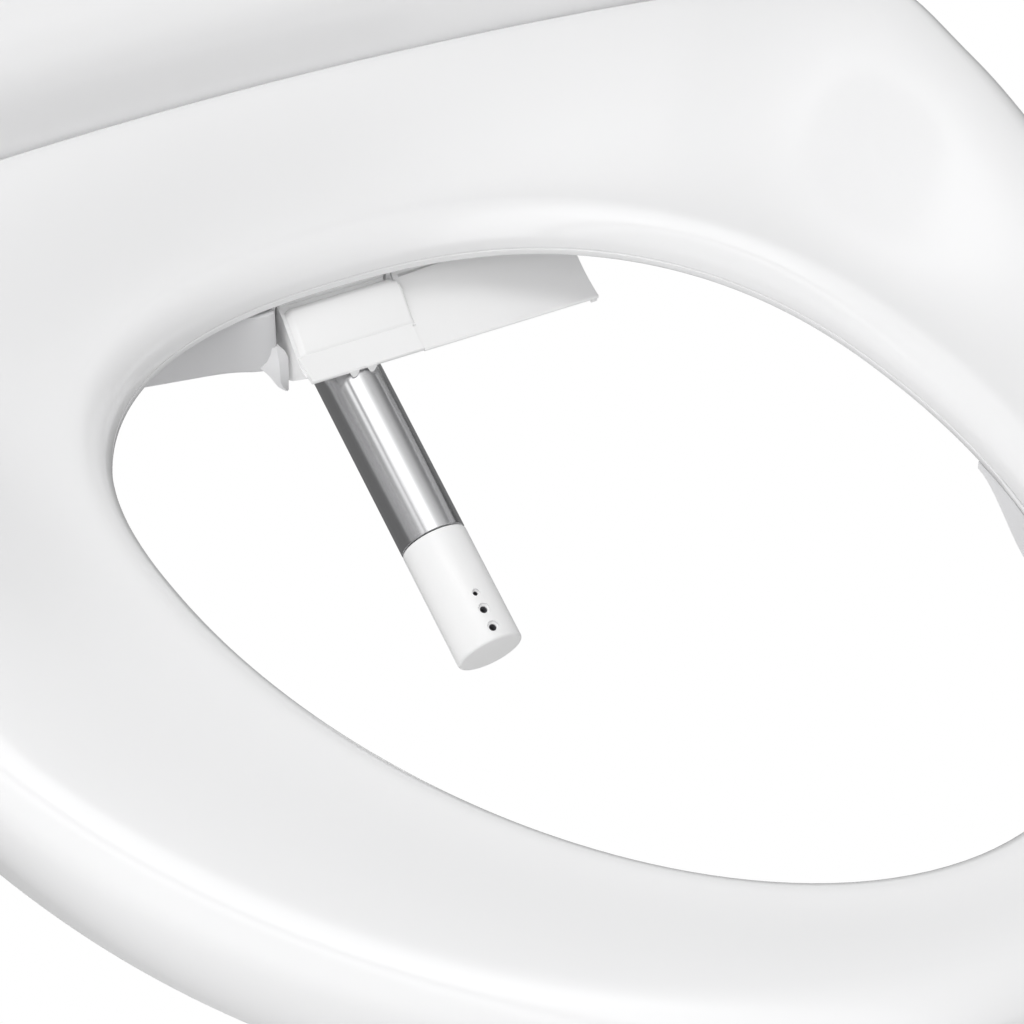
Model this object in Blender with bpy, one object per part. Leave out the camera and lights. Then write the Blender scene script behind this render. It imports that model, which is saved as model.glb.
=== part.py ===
"""Electric bidet seat with a steel spray nozzle: seat ring, lid, rear housing and its inner works.

Lengths below are millimetres, which MM turns into Blender's metres. +X is the right side seen
from the front, +Y is the rear and +Z is up. The origin lies midway between the two mounting
bolts, on the plane of the toilet bowl's rim.
"""

import math

import bmesh
import bpy
from mathutils import Matrix, Vector

MM = 0.001
GAP = 0.3

# Seat ring: the opening, the crown line that edges its flat top, and the outer wall.
OPENING_Y = -250.0
OPENING_HALF_WIDTH = 102.7
OPENING_REAR = 117.2
OPENING_FRONT = 169.1
OPENING_REAR_POWER = 2.42
CROWN_HALF_WIDTH = 166.0
CROWN_FRONT = 206.0
FLARE_START_Y = -330.0
FLARE_LENGTH = 195.0
FLARE_WIDTH = 25.0
CORNER_START_Y = -200.0
CORNER_POWER = 7
REAR_LINE_Y = -80.9
REAR_LINE_BOW = 0.0006
RIM_Z = 40.0
RIM_BOTTOM_Z = 26.7
RIM_ROUND = 10.35
CREST_FRONT_Z = 44.0
CREST_REAR_Z = 66.0
CREST_RISE_START_Y = -300.0
CREST_RISE_LENGTH = 130.0
SIDE_ROUND = 12.0
SIDE_BOTTOM_Z = 18.0
REAR_ROUND = 2.5
REAR_BOTTOM_Z = 54.0
REAR_HALF_ANGLE = (44.0, 56.0)
SHELL = 2.4
RING_STEPS = 64

# Seat hinge and lid hinge: lines along X, given as (Y, Z).
SEAT_AXIS = (-82.0, 74.0)
SEAT_KNUCKLE_X = (150.0, 170.0)
SEAT_KNUCKLE_RADIUS = 8.0
SEAT_PIN_RADIUS = 3.5
LID_AXIS = (52.0, 86.0)
LID_LUG_X = (108.0, 127.0)
LID_TOWER_X = (128.0, 144.0)
LID_DAMPER_X = (145.0, 186.0)
LID_LUG_RADIUS = 8.5
LID_PIN_RADIUS = 3.5
LID_OPEN_ANGLE = 105.0
LID_UNDER_REAR_Z = 102.8
LID_UNDER_FRONT_Z = 57.0
LID_THICKNESS = 3.0
LID_CROWN = 2.5
LID_MIDDLE_Y = -200.0
LID_HALF_WIDTH = 172.0
LID_FLARE_WIDTH = 24.0
LID_FLARE_LENGTH = 250.0
LID_CORNER_POWER = 12
LID_STEPS = 56

# Rear housing.
HOUSING_HALF_WIDTH = 205.0
HOUSING_REAR_Y = 72.0
HOUSING_TOP_Z = 98.0
HOUSING_SPLIT_Z = 44.0
HOUSING_CORNER_X = 142.0
HOUSING_CORNER_Y = -70.0
SHELF_Y = 36.0
SHELF_Z = 72.0
CHASSIS_Z = 9.0
WALL = 2.6

# Nozzle: its axis lies in the plane X = 0 and runs down to the front.
NOZZLE_SLOPE = math.radians(30.1)
NOZZLE_TIP = (-216.2, -44.5)
NOZZLE_RADIUS = 9.5
TIP_LENGTH = 35.4
JETS = ((3.7, 1.7), (9.3, 1.7), (14.4, 1.1))
TUBE_END = 112.0
CARRIAGE_END = 128.0
GUIDE_START = 100.0
GUIDE_END = 222.0

# Flap over the nozzle and the front panels round its bay.
FLAP_AXIS = (-126.5, 24.5)
FLAP_X = (-16.6, 17.0)
HOOD_END_X = 18.8
APRON_X = (19.3, 76.0)
APRON_CURVE = ((-162.85, 48.0), 42.3)
PANEL_X = (-78.0, -38.0)
SHROUD_Z = (8.6, 26.0)

# Brackets and bolts.
BOLT_X = 70.0
BOLT_RADIUS = 4.0
PLATE_SIZE = (190.0, 56.0, 4.0)
BUSH_TOP_Z = -2.6
FOOT_RADIUS = 8.0
FOOT_PLACE = (62.0, -104.0)

# Controls at the right side and the parts that slide out.
KEY_Y = (-18.0, 0.0, 18.0)
KEY_Z = 64.0
KEY_RADIUS = 5.0
RELEASE_Y = -40.0
FILTER_Y = (4.0, 34.0)


def clear_scene():
    """Take every object out of the scene."""
    for old in list(bpy.data.objects):
        bpy.data.objects.remove(old, do_unlink=True)


def material(name, colour, roughness, metallic=0.0):
    """A Principled BSDF material."""
    made = bpy.data.materials.new(name)
    made.use_nodes = True
    shader = made.node_tree.nodes["Principled BSDF"]
    shader.inputs["Base Color"].default_value = (*colour, 1.0)
    shader.inputs["Roughness"].default_value = roughness
    shader.inputs["Metallic"].default_value = metallic
    made.diffuse_color = (*colour, 1.0)
    return made


def add(name, mesh, finish, pivot=(0.0, 0.0, 0.0), edge=0.0):
    """Turn a bmesh in millimetres into an object whose origin is at pivot."""
    bmesh.ops.recalc_face_normals(mesh, faces=mesh.faces)
    bmesh.ops.translate(mesh, verts=mesh.verts, vec=-Vector(pivot))
    bmesh.ops.scale(mesh, verts=mesh.verts, vec=(MM, MM, MM))
    data = bpy.data.meshes.new(name)
    mesh.to_mesh(data)
    mesh.free()
    data.shade_smooth()
    data.set_sharp_from_angle(angle=math.radians(35))
    made = bpy.data.objects.new(name, data)
    made.location = Vector(pivot) * MM
    bpy.context.scene.collection.objects.link(made)
    if finish:
        data.materials.append(finish)
    if edge:
        bevel = made.modifiers.new("edge", "BEVEL")
        bevel.width = edge * MM
        bevel.segments = 1
        bevel.limit_method = "ANGLE"
        bevel.angle_limit = math.radians(50)
    return made


def combine(target, mesh, operation, pivot=(0.0, 0.0, 0.0)):
    """Cut a helper solid from target, or join it on."""
    helper = add(target.name + "_" + operation.lower(), mesh, None, pivot)
    helper.hide_render = True
    helper.display_type = "WIRE"
    boolean = target.modifiers.new(operation.lower(), "BOOLEAN")
    boolean.operation = operation
    boolean.object = helper
    boolean.solver = "EXACT"


def block(low, high):
    """A box between two corners."""
    mesh = bmesh.new()
    bmesh.ops.create_cube(mesh, size=1.0)
    size = [high[i] - low[i] for i in range(3)]
    middle = [(high[i] + low[i]) / 2 for i in range(3)]
    bmesh.ops.scale(mesh, verts=mesh.verts, vec=size)
    bmesh.ops.translate(mesh, verts=mesh.verts, vec=middle)
    return mesh


def prism(points, start, end, normal="X"):
    """A flat outline extruded along one axis; points hold the two other coordinates in order."""
    place = {
        "X": lambda p, d: (d, p[0], p[1]),
        "Y": lambda p, d: (p[0], d, p[1]),
        "Z": lambda p, d: (p[0], p[1], d),
    }[normal]
    mesh = bmesh.new()
    near = [mesh.verts.new(place(p, start)) for p in points]
    far = [mesh.verts.new(place(p, end)) for p in points]
    mesh.faces.new(near[::-1])
    mesh.faces.new(far)
    for i in range(len(points)):
        j = (i + 1) % len(points)
        mesh.faces.new((near[i], near[j], far[j], far[i]))
    return mesh


def turned(profile, base, direction, steps=20):
    """A closed (radius, distance) outline turned about an axis; a radius of 0 makes a pole."""
    turn = Vector(direction).to_track_quat("Z", "Y").to_matrix().to_4x4()
    frame = Matrix.Translation(Vector(base)) @ turn
    mesh = bmesh.new()
    rings = []
    for radius, distance in profile:
        if radius == 0.0:
            rings.append([mesh.verts.new(frame @ Vector((0.0, 0.0, distance)))])
            continue
        ring = []
        for k in range(steps):
            a = 2 * math.pi * k / steps
            point = Vector((radius * math.cos(a), radius * math.sin(a), distance))
            ring.append(mesh.verts.new(frame @ point))
        rings.append(ring)
    for one, two in zip(rings, rings[1:] + rings[:1]):
        for k in range(steps):
            j = (k + 1) % steps
            corners = [one[k % len(one)], one[j % len(one)], two[j % len(two)], two[k % len(two)]]
            face = list(dict.fromkeys(corners))
            if len(face) > 2:
                mesh.faces.new(face)
    return mesh


def rod(radius, base, direction, length, steps=20):
    """A plain round bar."""
    return turned([(0.0, 0.0), (radius, 0.0), (radius, length), (0.0, length)], base, direction, steps)


def sleeve(inner, outer, base, direction, length, steps=20):
    """A round tube with open ends."""
    outline = [(inner, 0.0), (outer, 0.0), (outer, length), (inner, length)]
    return turned(outline, base, direction, steps)


def loft(sections, ring=True):
    """Skin closed sections of equal point count; ring joins the last one to the first."""
    mesh = bmesh.new()
    rows = [[mesh.verts.new(p) for p in section] for section in sections]
    pairs = list(zip(rows, rows[1:]))
    if ring:
        pairs.append((rows[-1], rows[0]))
    else:
        mesh.faces.new(rows[0][::-1])
        mesh.faces.new(rows[-1])
    for one, two in pairs:
        for i in range(len(one)):
            j = (i + 1) % len(one)
            mesh.faces.new((one[i], one[j], two[j], two[i]))
    return mesh


def smooth(value):
    """Ease from 0 to 1."""
    t = min(1.0, max(0.0, value))
    return t * t * (3 - 2 * t)


def mirrored(points):
    """The same (x, y) points on the other side of the middle plane, in reverse order."""
    return [(-x, y) for x, y in reversed(points)]


def arc(centre, radius, start, end, steps):
    """Points of an arc, angles in degrees."""
    made = []
    for k in range(steps + 1):
        a = math.radians(start + (end - start) * k / steps)
        made.append((centre[0] + radius * math.cos(a), centre[1] + radius * math.sin(a)))
    return made


def halved(level):
    """Distance at which level, which grows with distance, reaches 1, found by halving."""
    low, high = 50.0, 400.0
    for _ in range(40):
        middle = (low + high) / 2
        if level(middle) < 1.0:
            low = middle
        else:
            high = middle
    return low


# ---------------------------------------------------------------- seat ring outlines


def rear_line(x):
    """Y of the joint line between the seat and the housing."""
    return REAR_LINE_Y - REAR_LINE_BOW * min(abs(x), HOUSING_CORNER_X) ** 2


def crown_half_width(y):
    """Half width of the crown line at y, widening towards the rear."""
    flare = max(0.0, (y - FLARE_START_Y) / FLARE_LENGTH)
    return CROWN_HALF_WIDTH + FLARE_WIDTH * flare**2.3


def crown_level(x, y):
    """1 on the crown line, less inside it and more outside it."""
    side = abs(x) / crown_half_width(y)
    if y < OPENING_Y:
        return math.hypot(side, (y - OPENING_Y) / CROWN_FRONT)
    rear = rear_line(x) - GAP - REAR_ROUND - CORNER_START_Y
    depth = max(0.0, y - CORNER_START_Y) / rear
    return (side**CORNER_POWER + depth**CORNER_POWER) ** (1 / CORNER_POWER)


def crown_radius(angle):
    """Distance from the opening's centre to the crown line."""
    c, s = math.cos(angle), math.sin(angle)
    return halved(lambda r: crown_level(r * c, OPENING_Y + r * s))


def opening_radius(angle):
    """Distance from the opening's centre to its wall."""
    c, s = abs(math.cos(angle)), abs(math.sin(angle))
    length, power = (OPENING_REAR, OPENING_REAR_POWER) if math.sin(angle) > 0 else (OPENING_FRONT, 2.0)
    return ((c / OPENING_HALF_WIDTH) ** power + (s / length) ** power) ** (-1 / power)


def rear_share(angle):
    """1 along the hinge side of the ring, 0 along its sides and front."""
    away = abs(math.degrees(angle) % 360 - 90)
    narrow, wide = REAR_HALF_ANGLE
    return 1 - smooth((away - narrow) / (wide - narrow))


def crest_z(y):
    """Height of the crown line, which sweeps up to the rear."""
    rise = smooth((y - CREST_RISE_START_Y) / CREST_RISE_LENGTH)
    return CREST_FRONT_Z + (CREST_REAR_Z - CREST_FRONT_Z) * rise


def outer_drop(angle):
    """(overhang of the outer wall past the crown line, height of its lower edge)."""
    rear = rear_share(angle)
    overhang = SIDE_ROUND + (REAR_ROUND - SIDE_ROUND) * rear
    return overhang, SIDE_BOTTOM_Z + (REAR_BOTTOM_Z - SIDE_BOTTOM_Z) * rear


def seat_profile(angle):
    """(distance, height) points over the ring, from the opening's wall to the outer wall."""
    inner = opening_radius(angle)
    crown = crown_radius(angle)
    crest = crest_z(OPENING_Y + crown * math.sin(angle))
    overhang, bottom = outer_drop(angle)
    points = [(inner, RIM_BOTTOM_Z)]
    points += arc((inner + RIM_ROUND, RIM_Z - RIM_ROUND), RIM_ROUND, 180, 90, 4)
    start = inner + RIM_ROUND
    for k in range(1, 6):
        u = k / 6
        points.append((start + (crown - start) * u, RIM_Z + (crest - RIM_Z) * smooth(u)))
    points += arc((crown, crest - overhang), overhang, 90, 0, 4)
    points.append((crown + overhang + 0.5, bottom))
    return points


def inset(points, depth):
    """The same open path moved to its right-hand side by depth."""
    moved = []
    for i, point in enumerate(points):
        before = Vector(points[max(0, i - 1)])
        after = Vector(points[min(len(points) - 1, i + 1)])
        along = (after - before).normalized()
        moved.append((point[0] + along.y * depth, point[1] - along.x * depth))
    return moved


def around(angle, points):
    """Stand (distance, height) points up on the ray from the opening's centre."""
    c, s = math.cos(angle), math.sin(angle)
    return [(r * c, OPENING_Y + r * s, z) for r, z in points]


def seat_angles():
    """Evenly spaced angles round the opening."""
    return [2 * math.pi * k / RING_STEPS for k in range(RING_STEPS)]


def seat_pivot():
    """The seat hinge line's middle."""
    return (0.0, *SEAT_AXIS)


def lid_pivot():
    """The lid hinge line's middle."""
    return (0.0, *LID_AXIS)


# ---------------------------------------------------------------- seat


def seat_upper_shell(finish):
    """The crowned top of the seat, a channel open below, with its two hinge knuckles."""
    sections = []
    for angle in seat_angles():
        top = seat_profile(angle)
        under = inset(top, SHELL)
        under[0] = (under[0][0], RIM_BOTTOM_Z)
        under[-1] = (under[-1][0], top[-1][1])
        sections.append(around(angle, top + under[::-1]))
    shell = add("seat_upper_shell", loft(sections), finish, seat_pivot())
    for side in (-1, 1):
        combine(shell, seat_knuckle(side), "UNION", seat_pivot())
        bore = rod(
            SEAT_PIN_RADIUS + GAP,
            (side * (SEAT_KNUCKLE_X[0] - 2), *SEAT_AXIS),
            (side, 0, 0),
            SEAT_KNUCKLE_X[1] - SEAT_KNUCKLE_X[0] + 4,
        )
        combine(shell, bore, "DIFFERENCE", seat_pivot())


def seat_knuckle(side):
    """The hinge eye that stands on the seat's rear corner."""
    y, z = SEAT_AXIS
    eye = arc((y, z), SEAT_KNUCKLE_RADIUS, -60, 150, 8)
    foot = [(y - 20.0, CREST_REAR_Z - 3.0), (y - 12.0, CREST_REAR_Z - 6.0)]
    foot += [(y - 6.0, CREST_REAR_Z - 4.0)]
    low, high = SEAT_KNUCKLE_X
    return prism(eye + foot, side * low, side * high)


def seat_lower_shell(finish):
    """The plate that closes the seat's underside, just inside the upper shell's walls."""
    sections = []
    for angle in seat_angles():
        inner = opening_radius(angle) + SHELL + GAP
        overhang, bottom = outer_drop(angle)
        outer = crown_radius(angle) + overhang - SHELL - GAP
        near, far = RIM_BOTTOM_Z + 0.8, bottom + 0.8
        points = [(inner, near), (outer, far), (outer, far + 2.2), (inner, near + 2.2)]
        sections.append(around(angle, points))
    add("seat_lower_shell", loft(sections), finish, seat_pivot())


def splash_guard(finish):
    """The skirt that hangs inside the front of the opening and turns splashes back."""
    sections = []
    steps = 28
    for k in range(steps + 1):
        angle = math.radians(202 + 136 * k / steps)
        fade = smooth(min(k, steps - k) / 3)
        inner = opening_radius(angle) + 0.4
        bottom = RIM_BOTTOM_Z - 3.0 - 9.0 * fade
        top = RIM_BOTTOM_Z - GAP
        points = [(inner, bottom), (inner + 1.8, bottom), (inner + 2.0, top), (inner, top)]
        sections.append(around(angle, points))
    add("splash_guard_skirt", loft(sections, ring=False), finish, seat_pivot())


def seat_heater(finish):
    """The foil heater that lies under the seat's top."""
    sections = []
    steps = 40
    for k in range(steps + 1):
        angle = math.radians(140 + 260 * k / steps)
        path = seat_profile(angle)[5:11]
        upper, lower = inset(path, SHELL + 0.8), inset(path, SHELL + 1.6)
        sections.append(around(angle, upper + lower[::-1]))
    add("seat_heater_foil", loft(sections, ring=False), finish, seat_pivot())


def plate_underside(angle, distance):
    """Height of the lower shell's underside along a ray."""
    overhang, bottom = outer_drop(angle)
    inner = opening_radius(angle)
    outer = crown_radius(angle) + overhang
    share = (distance - inner) / (outer - inner)
    return RIM_BOTTOM_Z + 0.8 + (bottom - RIM_BOTTOM_Z) * share


def seat_bumpers(finish):
    """Four rubber buffers that stand the seat on the bowl's rim."""
    for name, degrees in (("front", 308.0), ("rear", 2.0)):
        for label, side in (("left", -1), ("right", 1)):
            angle = math.radians(degrees)
            inner, outer = opening_radius(angle), crown_radius(angle)
            middle = (inner + outer) / 2
            x = side * middle * math.cos(angle)
            y = OPENING_Y + middle * math.sin(angle)
            top = plate_underside(angle, middle + 8.0) - 0.6
            outline = []
            for k in range(20):
                a = 2 * math.pi * k / 20
                reach = 7.0 if math.cos(a) > 0 else -7.0
                outline.append((x + 6.0 * math.sin(a), y + reach + 6.0 * math.cos(a)))
            pad = prism(outline, 0.0, top, "Z")
            add("seat_bumper_" + name + "_" + label, pad, finish, seat_pivot(), edge=0.8)


def seat_hinge_pins(finish):
    """The steel pins between the housing's cheeks and the seat's knuckles."""
    for label, side in (("left", -1), ("right", 1)):
        pin = rod(SEAT_PIN_RADIUS, (side * 145.0, *SEAT_AXIS), (side, 0, 0), 30.0, 16)
        add("seat_hinge_pin_" + label, pin, finish)


# ---------------------------------------------------------------- lid


def lid_under_z(y):
    """Height of the closed lid's underside."""
    slope = smooth((y + 470.0) / 400.0)
    return LID_UNDER_FRONT_Z + (LID_UNDER_REAR_Z - LID_UNDER_FRONT_Z) * slope


def lid_half_width(y):
    """Half width of the lid, which widens to the rear in one even sweep."""
    return LID_HALF_WIDTH + LID_FLARE_WIDTH * smooth((y - FLARE_START_Y) / LID_FLARE_LENGTH)


def lid_level(x, y):
    """1 on the lid's edge, less inside it and more outside it."""
    side = abs(x) / lid_half_width(y)
    if y < OPENING_Y:
        return math.hypot(side, (OPENING_Y - y) / (CROWN_FRONT + 8.0))
    behind = (y - OPENING_Y) / (LID_AXIS[0] + 6.0 - OPENING_Y)
    return (side**LID_CORNER_POWER + behind**LID_CORNER_POWER) ** (1 / LID_CORNER_POWER)


def lid_radius(angle):
    """Distance from the lid's middle to its edge."""
    c, s = math.cos(angle), math.sin(angle)
    return halved(lambda r: lid_level(r * c, LID_MIDDLE_Y + r * s))


def lid_grid(radii, lift):
    """One ring of lid points at shares of the edge radius, lifted above the underside."""
    rows = []
    for share in radii:
        row = []
        for k in range(LID_STEPS):
            angle = 2 * math.pi * k / LID_STEPS
            r = lid_radius(angle) * share
            x, y = r * math.cos(angle), LID_MIDDLE_Y + r * math.sin(angle)
            crown = LID_CROWN * (1 - share**2)
            row.append((x, y, lid_under_z(y) + crown + lift))
        rows.append(row)
    return rows


def lid_plate():
    """A gently crowned plate with a turned-down rim."""
    mesh = bmesh.new()
    upper = lid_grid((0.25, 0.5, 0.75, 0.93), LID_THICKNESS)
    rim_top = lid_grid((0.985,), LID_THICKNESS - 1.2)
    rim_side = lid_grid((1.0,), -0.5)
    rim_low = lid_grid((1.0,), -4.0)
    rim_in = lid_grid((0.987,), -4.0)
    lower = lid_grid((0.97, 0.75, 0.5, 0.25), 0.0)
    rows = []
    for row in upper + rim_top + rim_side + rim_low + rim_in + lower:
        rows.append([mesh.verts.new(p) for p in row])
    middle_z = lid_under_z(LID_MIDDLE_Y) + LID_CROWN
    top_middle = mesh.verts.new((0.0, LID_MIDDLE_Y, middle_z + LID_THICKNESS))
    low_middle = mesh.verts.new((0.0, LID_MIDDLE_Y, middle_z))
    for k in range(LID_STEPS):
        j = (k + 1) % LID_STEPS
        mesh.faces.new((top_middle, rows[0][k], rows[0][j]))
        mesh.faces.new((low_middle, rows[-1][j], rows[-1][k]))
        for one, two in zip(rows, rows[1:]):
            mesh.faces.new((one[k], two[k], two[j], one[j]))
    return mesh


def opened(mesh):
    """Turn a solid of the closed lid about the lid hinge to where the open lid rests."""
    turn = Matrix.Rotation(math.radians(-LID_OPEN_ANGLE), 3, "X")
    bmesh.ops.rotate(mesh, verts=mesh.verts, cent=lid_pivot(), matrix=turn)
    return mesh


def lid_lug(side):
    """The eye that hangs from the lid's rear edge round the hinge pin."""
    y, z = LID_AXIS
    eye = arc((y, z), LID_LUG_RADIUS, 180, 360, 8)
    top = LID_UNDER_REAR_Z + 1.2
    low, high = LID_LUG_X
    return prism(eye + [(y + LID_LUG_RADIUS, top), (y - LID_LUG_RADIUS, top)], side * low, side * high)


def lid(finish):
    """The lid with its two hinge lugs."""
    plate = add("lid_shell", opened(lid_plate()), finish, lid_pivot())
    for side in (-1, 1):
        combine(plate, opened(lid_lug(side)), "UNION", lid_pivot())
        bore = rod(LID_PIN_RADIUS + GAP, (side * (LID_LUG_X[0] - 2), *LID_AXIS), (side, 0, 0), 24.0)
        combine(plate, bore, "DIFFERENCE", lid_pivot())


def lid_fittings(rubber, steel):
    """The lid's two buffers and the pins it turns on."""
    for label, side in (("left", -1), ("right", 1)):
        y = -330.0
        x = side * 120.0
        top = lid_under_z(y - 10.0) - 0.5
        pad = prism([(x + a, y + b) for a, b in arc((0, 0), 9.0, 0, 330, 11)], top - 5.0, top, "Z")
        add("lid_bumper_" + label, opened(pad), rubber, lid_pivot(), edge=0.8)
        pin = rod(LID_PIN_RADIUS, (side * 108.5, *LID_AXIS), (side, 0, 0), 35.0, 16)
        add("lid_hinge_pin_" + label, pin, steel, lid_pivot())


# ---------------------------------------------------------------- housing


def housing_front(x, lean):
    """Y of the housing's front, set back by lean; beyond the corners it clears the knuckles."""
    if abs(x) > HOUSING_CORNER_X:
        return HOUSING_CORNER_Y + lean
    return rear_line(x) + GAP + lean


def housing_outline(lean, trim):
    """The housing's plan outline, counted from the left rear corner, trimmed inwards."""
    half = HOUSING_HALF_WIDTH - trim
    rear = HOUSING_REAR_Y - trim
    right = [(half, rear - 14.0), (half, HOUSING_CORNER_Y + 14.0 + lean + trim)]
    right += arc((half - 14.0, HOUSING_CORNER_Y + 14.0 + lean + trim), 14.0, 0, -90, 4)[1:]
    right += [(HOUSING_CORNER_X - trim, HOUSING_CORNER_Y + lean + trim)]
    front = []
    steps = 12
    reach = HOUSING_CORNER_X - 1.0 - trim
    for k in range(steps + 1):
        x = reach - 2 * reach * k / steps
        front.append((x, housing_front(x, lean) + trim))
    left = mirrored(right)
    back = arc((14.0 - half, rear - 14.0), 14.0, 180, 90, 4)[1:]
    return right + front + left + back + mirrored(back)


def housing_cover(finish):
    """The upper casing: an upturned tub with a leaning front and a step down for the lid hinge."""
    levels = (
        (HOUSING_SPLIT_Z, 0.0, 0.0),
        (66.0, 0.0, 0.0),
        (82.0, 1.2, 0.0),
        (90.0, 3.5, 1.2),
        (95.5, 8.0, 3.5),
        (HOUSING_TOP_Z, 17.0, 8.0),
    )
    outside = [[(x, y, z) for x, y in housing_outline(lean, trim)] for z, lean, trim in levels]
    inside = []
    for z, lean, trim in levels[::-1]:
        height = min(z, HOUSING_TOP_Z - WALL)
        inside.append([(x, y, height) for x, y in housing_outline(lean, trim + WALL)])
    cover = add("housing_cover", tub(outside, inside), finish)
    step_cut = block((-250.0, SHELF_Y, SHELF_Z), (250.0, 100.0, 120.0))
    combine(cover, step_cut, "DIFFERENCE")
    shelf = block(
        (WALL - HOUSING_HALF_WIDTH + 0.2, SHELF_Y - WALL, SHELF_Z - WALL),
        (HOUSING_HALF_WIDTH - WALL - 0.2, HOUSING_REAR_Y - WALL + 0.2, SHELF_Z),
    )
    combine(cover, shelf, "UNION")
    riser = block(
        (WALL - HOUSING_HALF_WIDTH + 0.2, SHELF_Y - WALL, SHELF_Z - 1.0),
        (HOUSING_HALF_WIDTH - WALL - 0.2, SHELF_Y, HOUSING_TOP_Z - 1.0),
    )
    combine(cover, riser, "UNION")
    for side in (-1, 1):
        combine(cover, lid_tower(side), "UNION")
        bore = rod(LID_PIN_RADIUS + GAP, (side * (LID_TOWER_X[0] - 1), *LID_AXIS), (side, 0, 0), 18.0)
        combine(cover, bore, "DIFFERENCE")
        for low, high in ((143.0, 149.5), (170.5, 177.0)):
            combine(cover, seat_cheek(side, low, high), "UNION")
        bore = rod(SEAT_PIN_RADIUS + GAP, (side * 142.0, *SEAT_AXIS), (side, 0, 0), 36.0)
        combine(cover, bore, "DIFFERENCE")
    combine(cover, block((-15.0, -100.0, 40.0), (15.0, -60.0, 52.0)), "DIFFERENCE")
    cut_side_controls(cover)


def tub(outside, inside):
    """A closed shell between an outer and an inner stack of outlines that share their rim."""
    mesh = bmesh.new()
    rows = [[mesh.verts.new(p) for p in row] for row in outside + inside]
    count = len(rows[0])
    top = len(outside)
    mesh.faces.new(rows[top - 1])
    mesh.faces.new(rows[top][::-1])
    pairs = list(zip(rows[: top - 1], rows[1:top]))
    pairs += list(zip(rows[top:-1], rows[top + 1 :]))
    pairs.append((rows[-1], rows[0]))
    for one, two in pairs:
        for i in range(count):
            j = (i + 1) % count
            mesh.faces.new((one[i], one[j], two[j], two[i]))
    return mesh


def lid_tower(side):
    """The post on the rear shelf that carries the lid's pin."""
    y, z = LID_AXIS
    outline = [(y - 8.0, SHELF_Z - 1.0), (y + 8.0, SHELF_Z - 1.0)] + arc((y, z), 8.0, 0, 180, 8)
    return prism(outline, side * LID_TOWER_X[0], side * LID_TOWER_X[1])


def seat_cheek(side, low, high):
    """One of the two ears that hold the seat's pin in the housing's front corner."""
    y, z = SEAT_AXIS
    rear = HOUSING_CORNER_Y + 2.0
    outline = arc((y, z), 7.5, 90, 270, 8) + [(rear, z - 7.5), (rear, z + 7.5)]
    return prism(outline, side * low, side * high)


def cut_side_controls(cover):
    """Holes in the side walls for the keys, the release button and the filter drawer."""
    reach = HOUSING_HALF_WIDTH - 6.0
    for y in KEY_Y:
        combine(cover, rod(KEY_RADIUS + 0.4, (reach, y, KEY_Z), (1, 0, 0), 12.0, 16), "DIFFERENCE")
    low, high = FILTER_Y
    slot = block((-reach - 12.0, low - 0.4, 49.6), (-reach, high + 0.4, 67.4))
    combine(cover, slot, "DIFFERENCE")
    button = block((-reach - 12.0, RELEASE_Y - 9.4, 55.6), (-reach, RELEASE_Y + 9.4, 64.4))
    combine(cover, button, "DIFFERENCE")


def base_chassis(finish):
    """The tray that carries the works, with a low deck that runs forward under the seat."""
    split = HOUSING_SPLIT_Z - GAP
    outline = housing_outline(3.0, 0.0)
    inner = housing_outline(3.0, WALL)
    outside = [[(x, y, z) for x, y in outline] for z in (split, CHASSIS_Z)]
    inside = [[(x, y, z) for x, y in inner] for z in (CHASSIS_Z + 3.0, split)]
    tray = add("base_chassis", tub(outside, inside), finish)
    deck = block((-78.0, -122.0, CHASSIS_Z), (78.0, -60.0, CHASSIS_Z + 3.0))
    combine(tray, deck, "UNION")
    channel = nozzle_block(14.5, -13.5, 40.0, 88.0, 240.0)
    combine(tray, channel, "DIFFERENCE")
    combine(tray, nozzle_block(6.0, -36.0, -10.0, 92.0, 236.0), "DIFFERENCE")
    lowered = prism(
        [(-84.0, CHASSIS_Z + 12.0), (-60.0, CHASSIS_Z + 12.0), (-60.0, 60.0), (-84.0, 60.0)],
        -70.0,
        70.0,
    )
    combine(tray, lowered, "DIFFERENCE")


def nozzle_point(back, lift=0.0):
    """A point of the plane X = 0, back along the nozzle from its tip and lift above its axis."""
    c, s = math.cos(NOZZLE_SLOPE), math.sin(NOZZLE_SLOPE)
    return (NOZZLE_TIP[0] + c * back - s * lift, NOZZLE_TIP[1] + s * back + c * lift)


def nozzle_block(half_width, low, high, start, end):
    """A box laid along the nozzle's axis."""
    corners = [nozzle_point(start, low), nozzle_point(end, low)]
    corners += [nozzle_point(end, high), nozzle_point(start, high)]
    return prism(corners, -half_width, half_width)


def nozzle_direction():
    """Unit vector from the nozzle's tip to its rear."""
    return (0.0, math.cos(NOZZLE_SLOPE), math.sin(NOZZLE_SLOPE))


def on_nozzle(back, lift=0.0, x=0.0):
    """A point in space placed along the nozzle."""
    return (x, *nozzle_point(back, lift))


# ---------------------------------------------------------------- mounting


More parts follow.
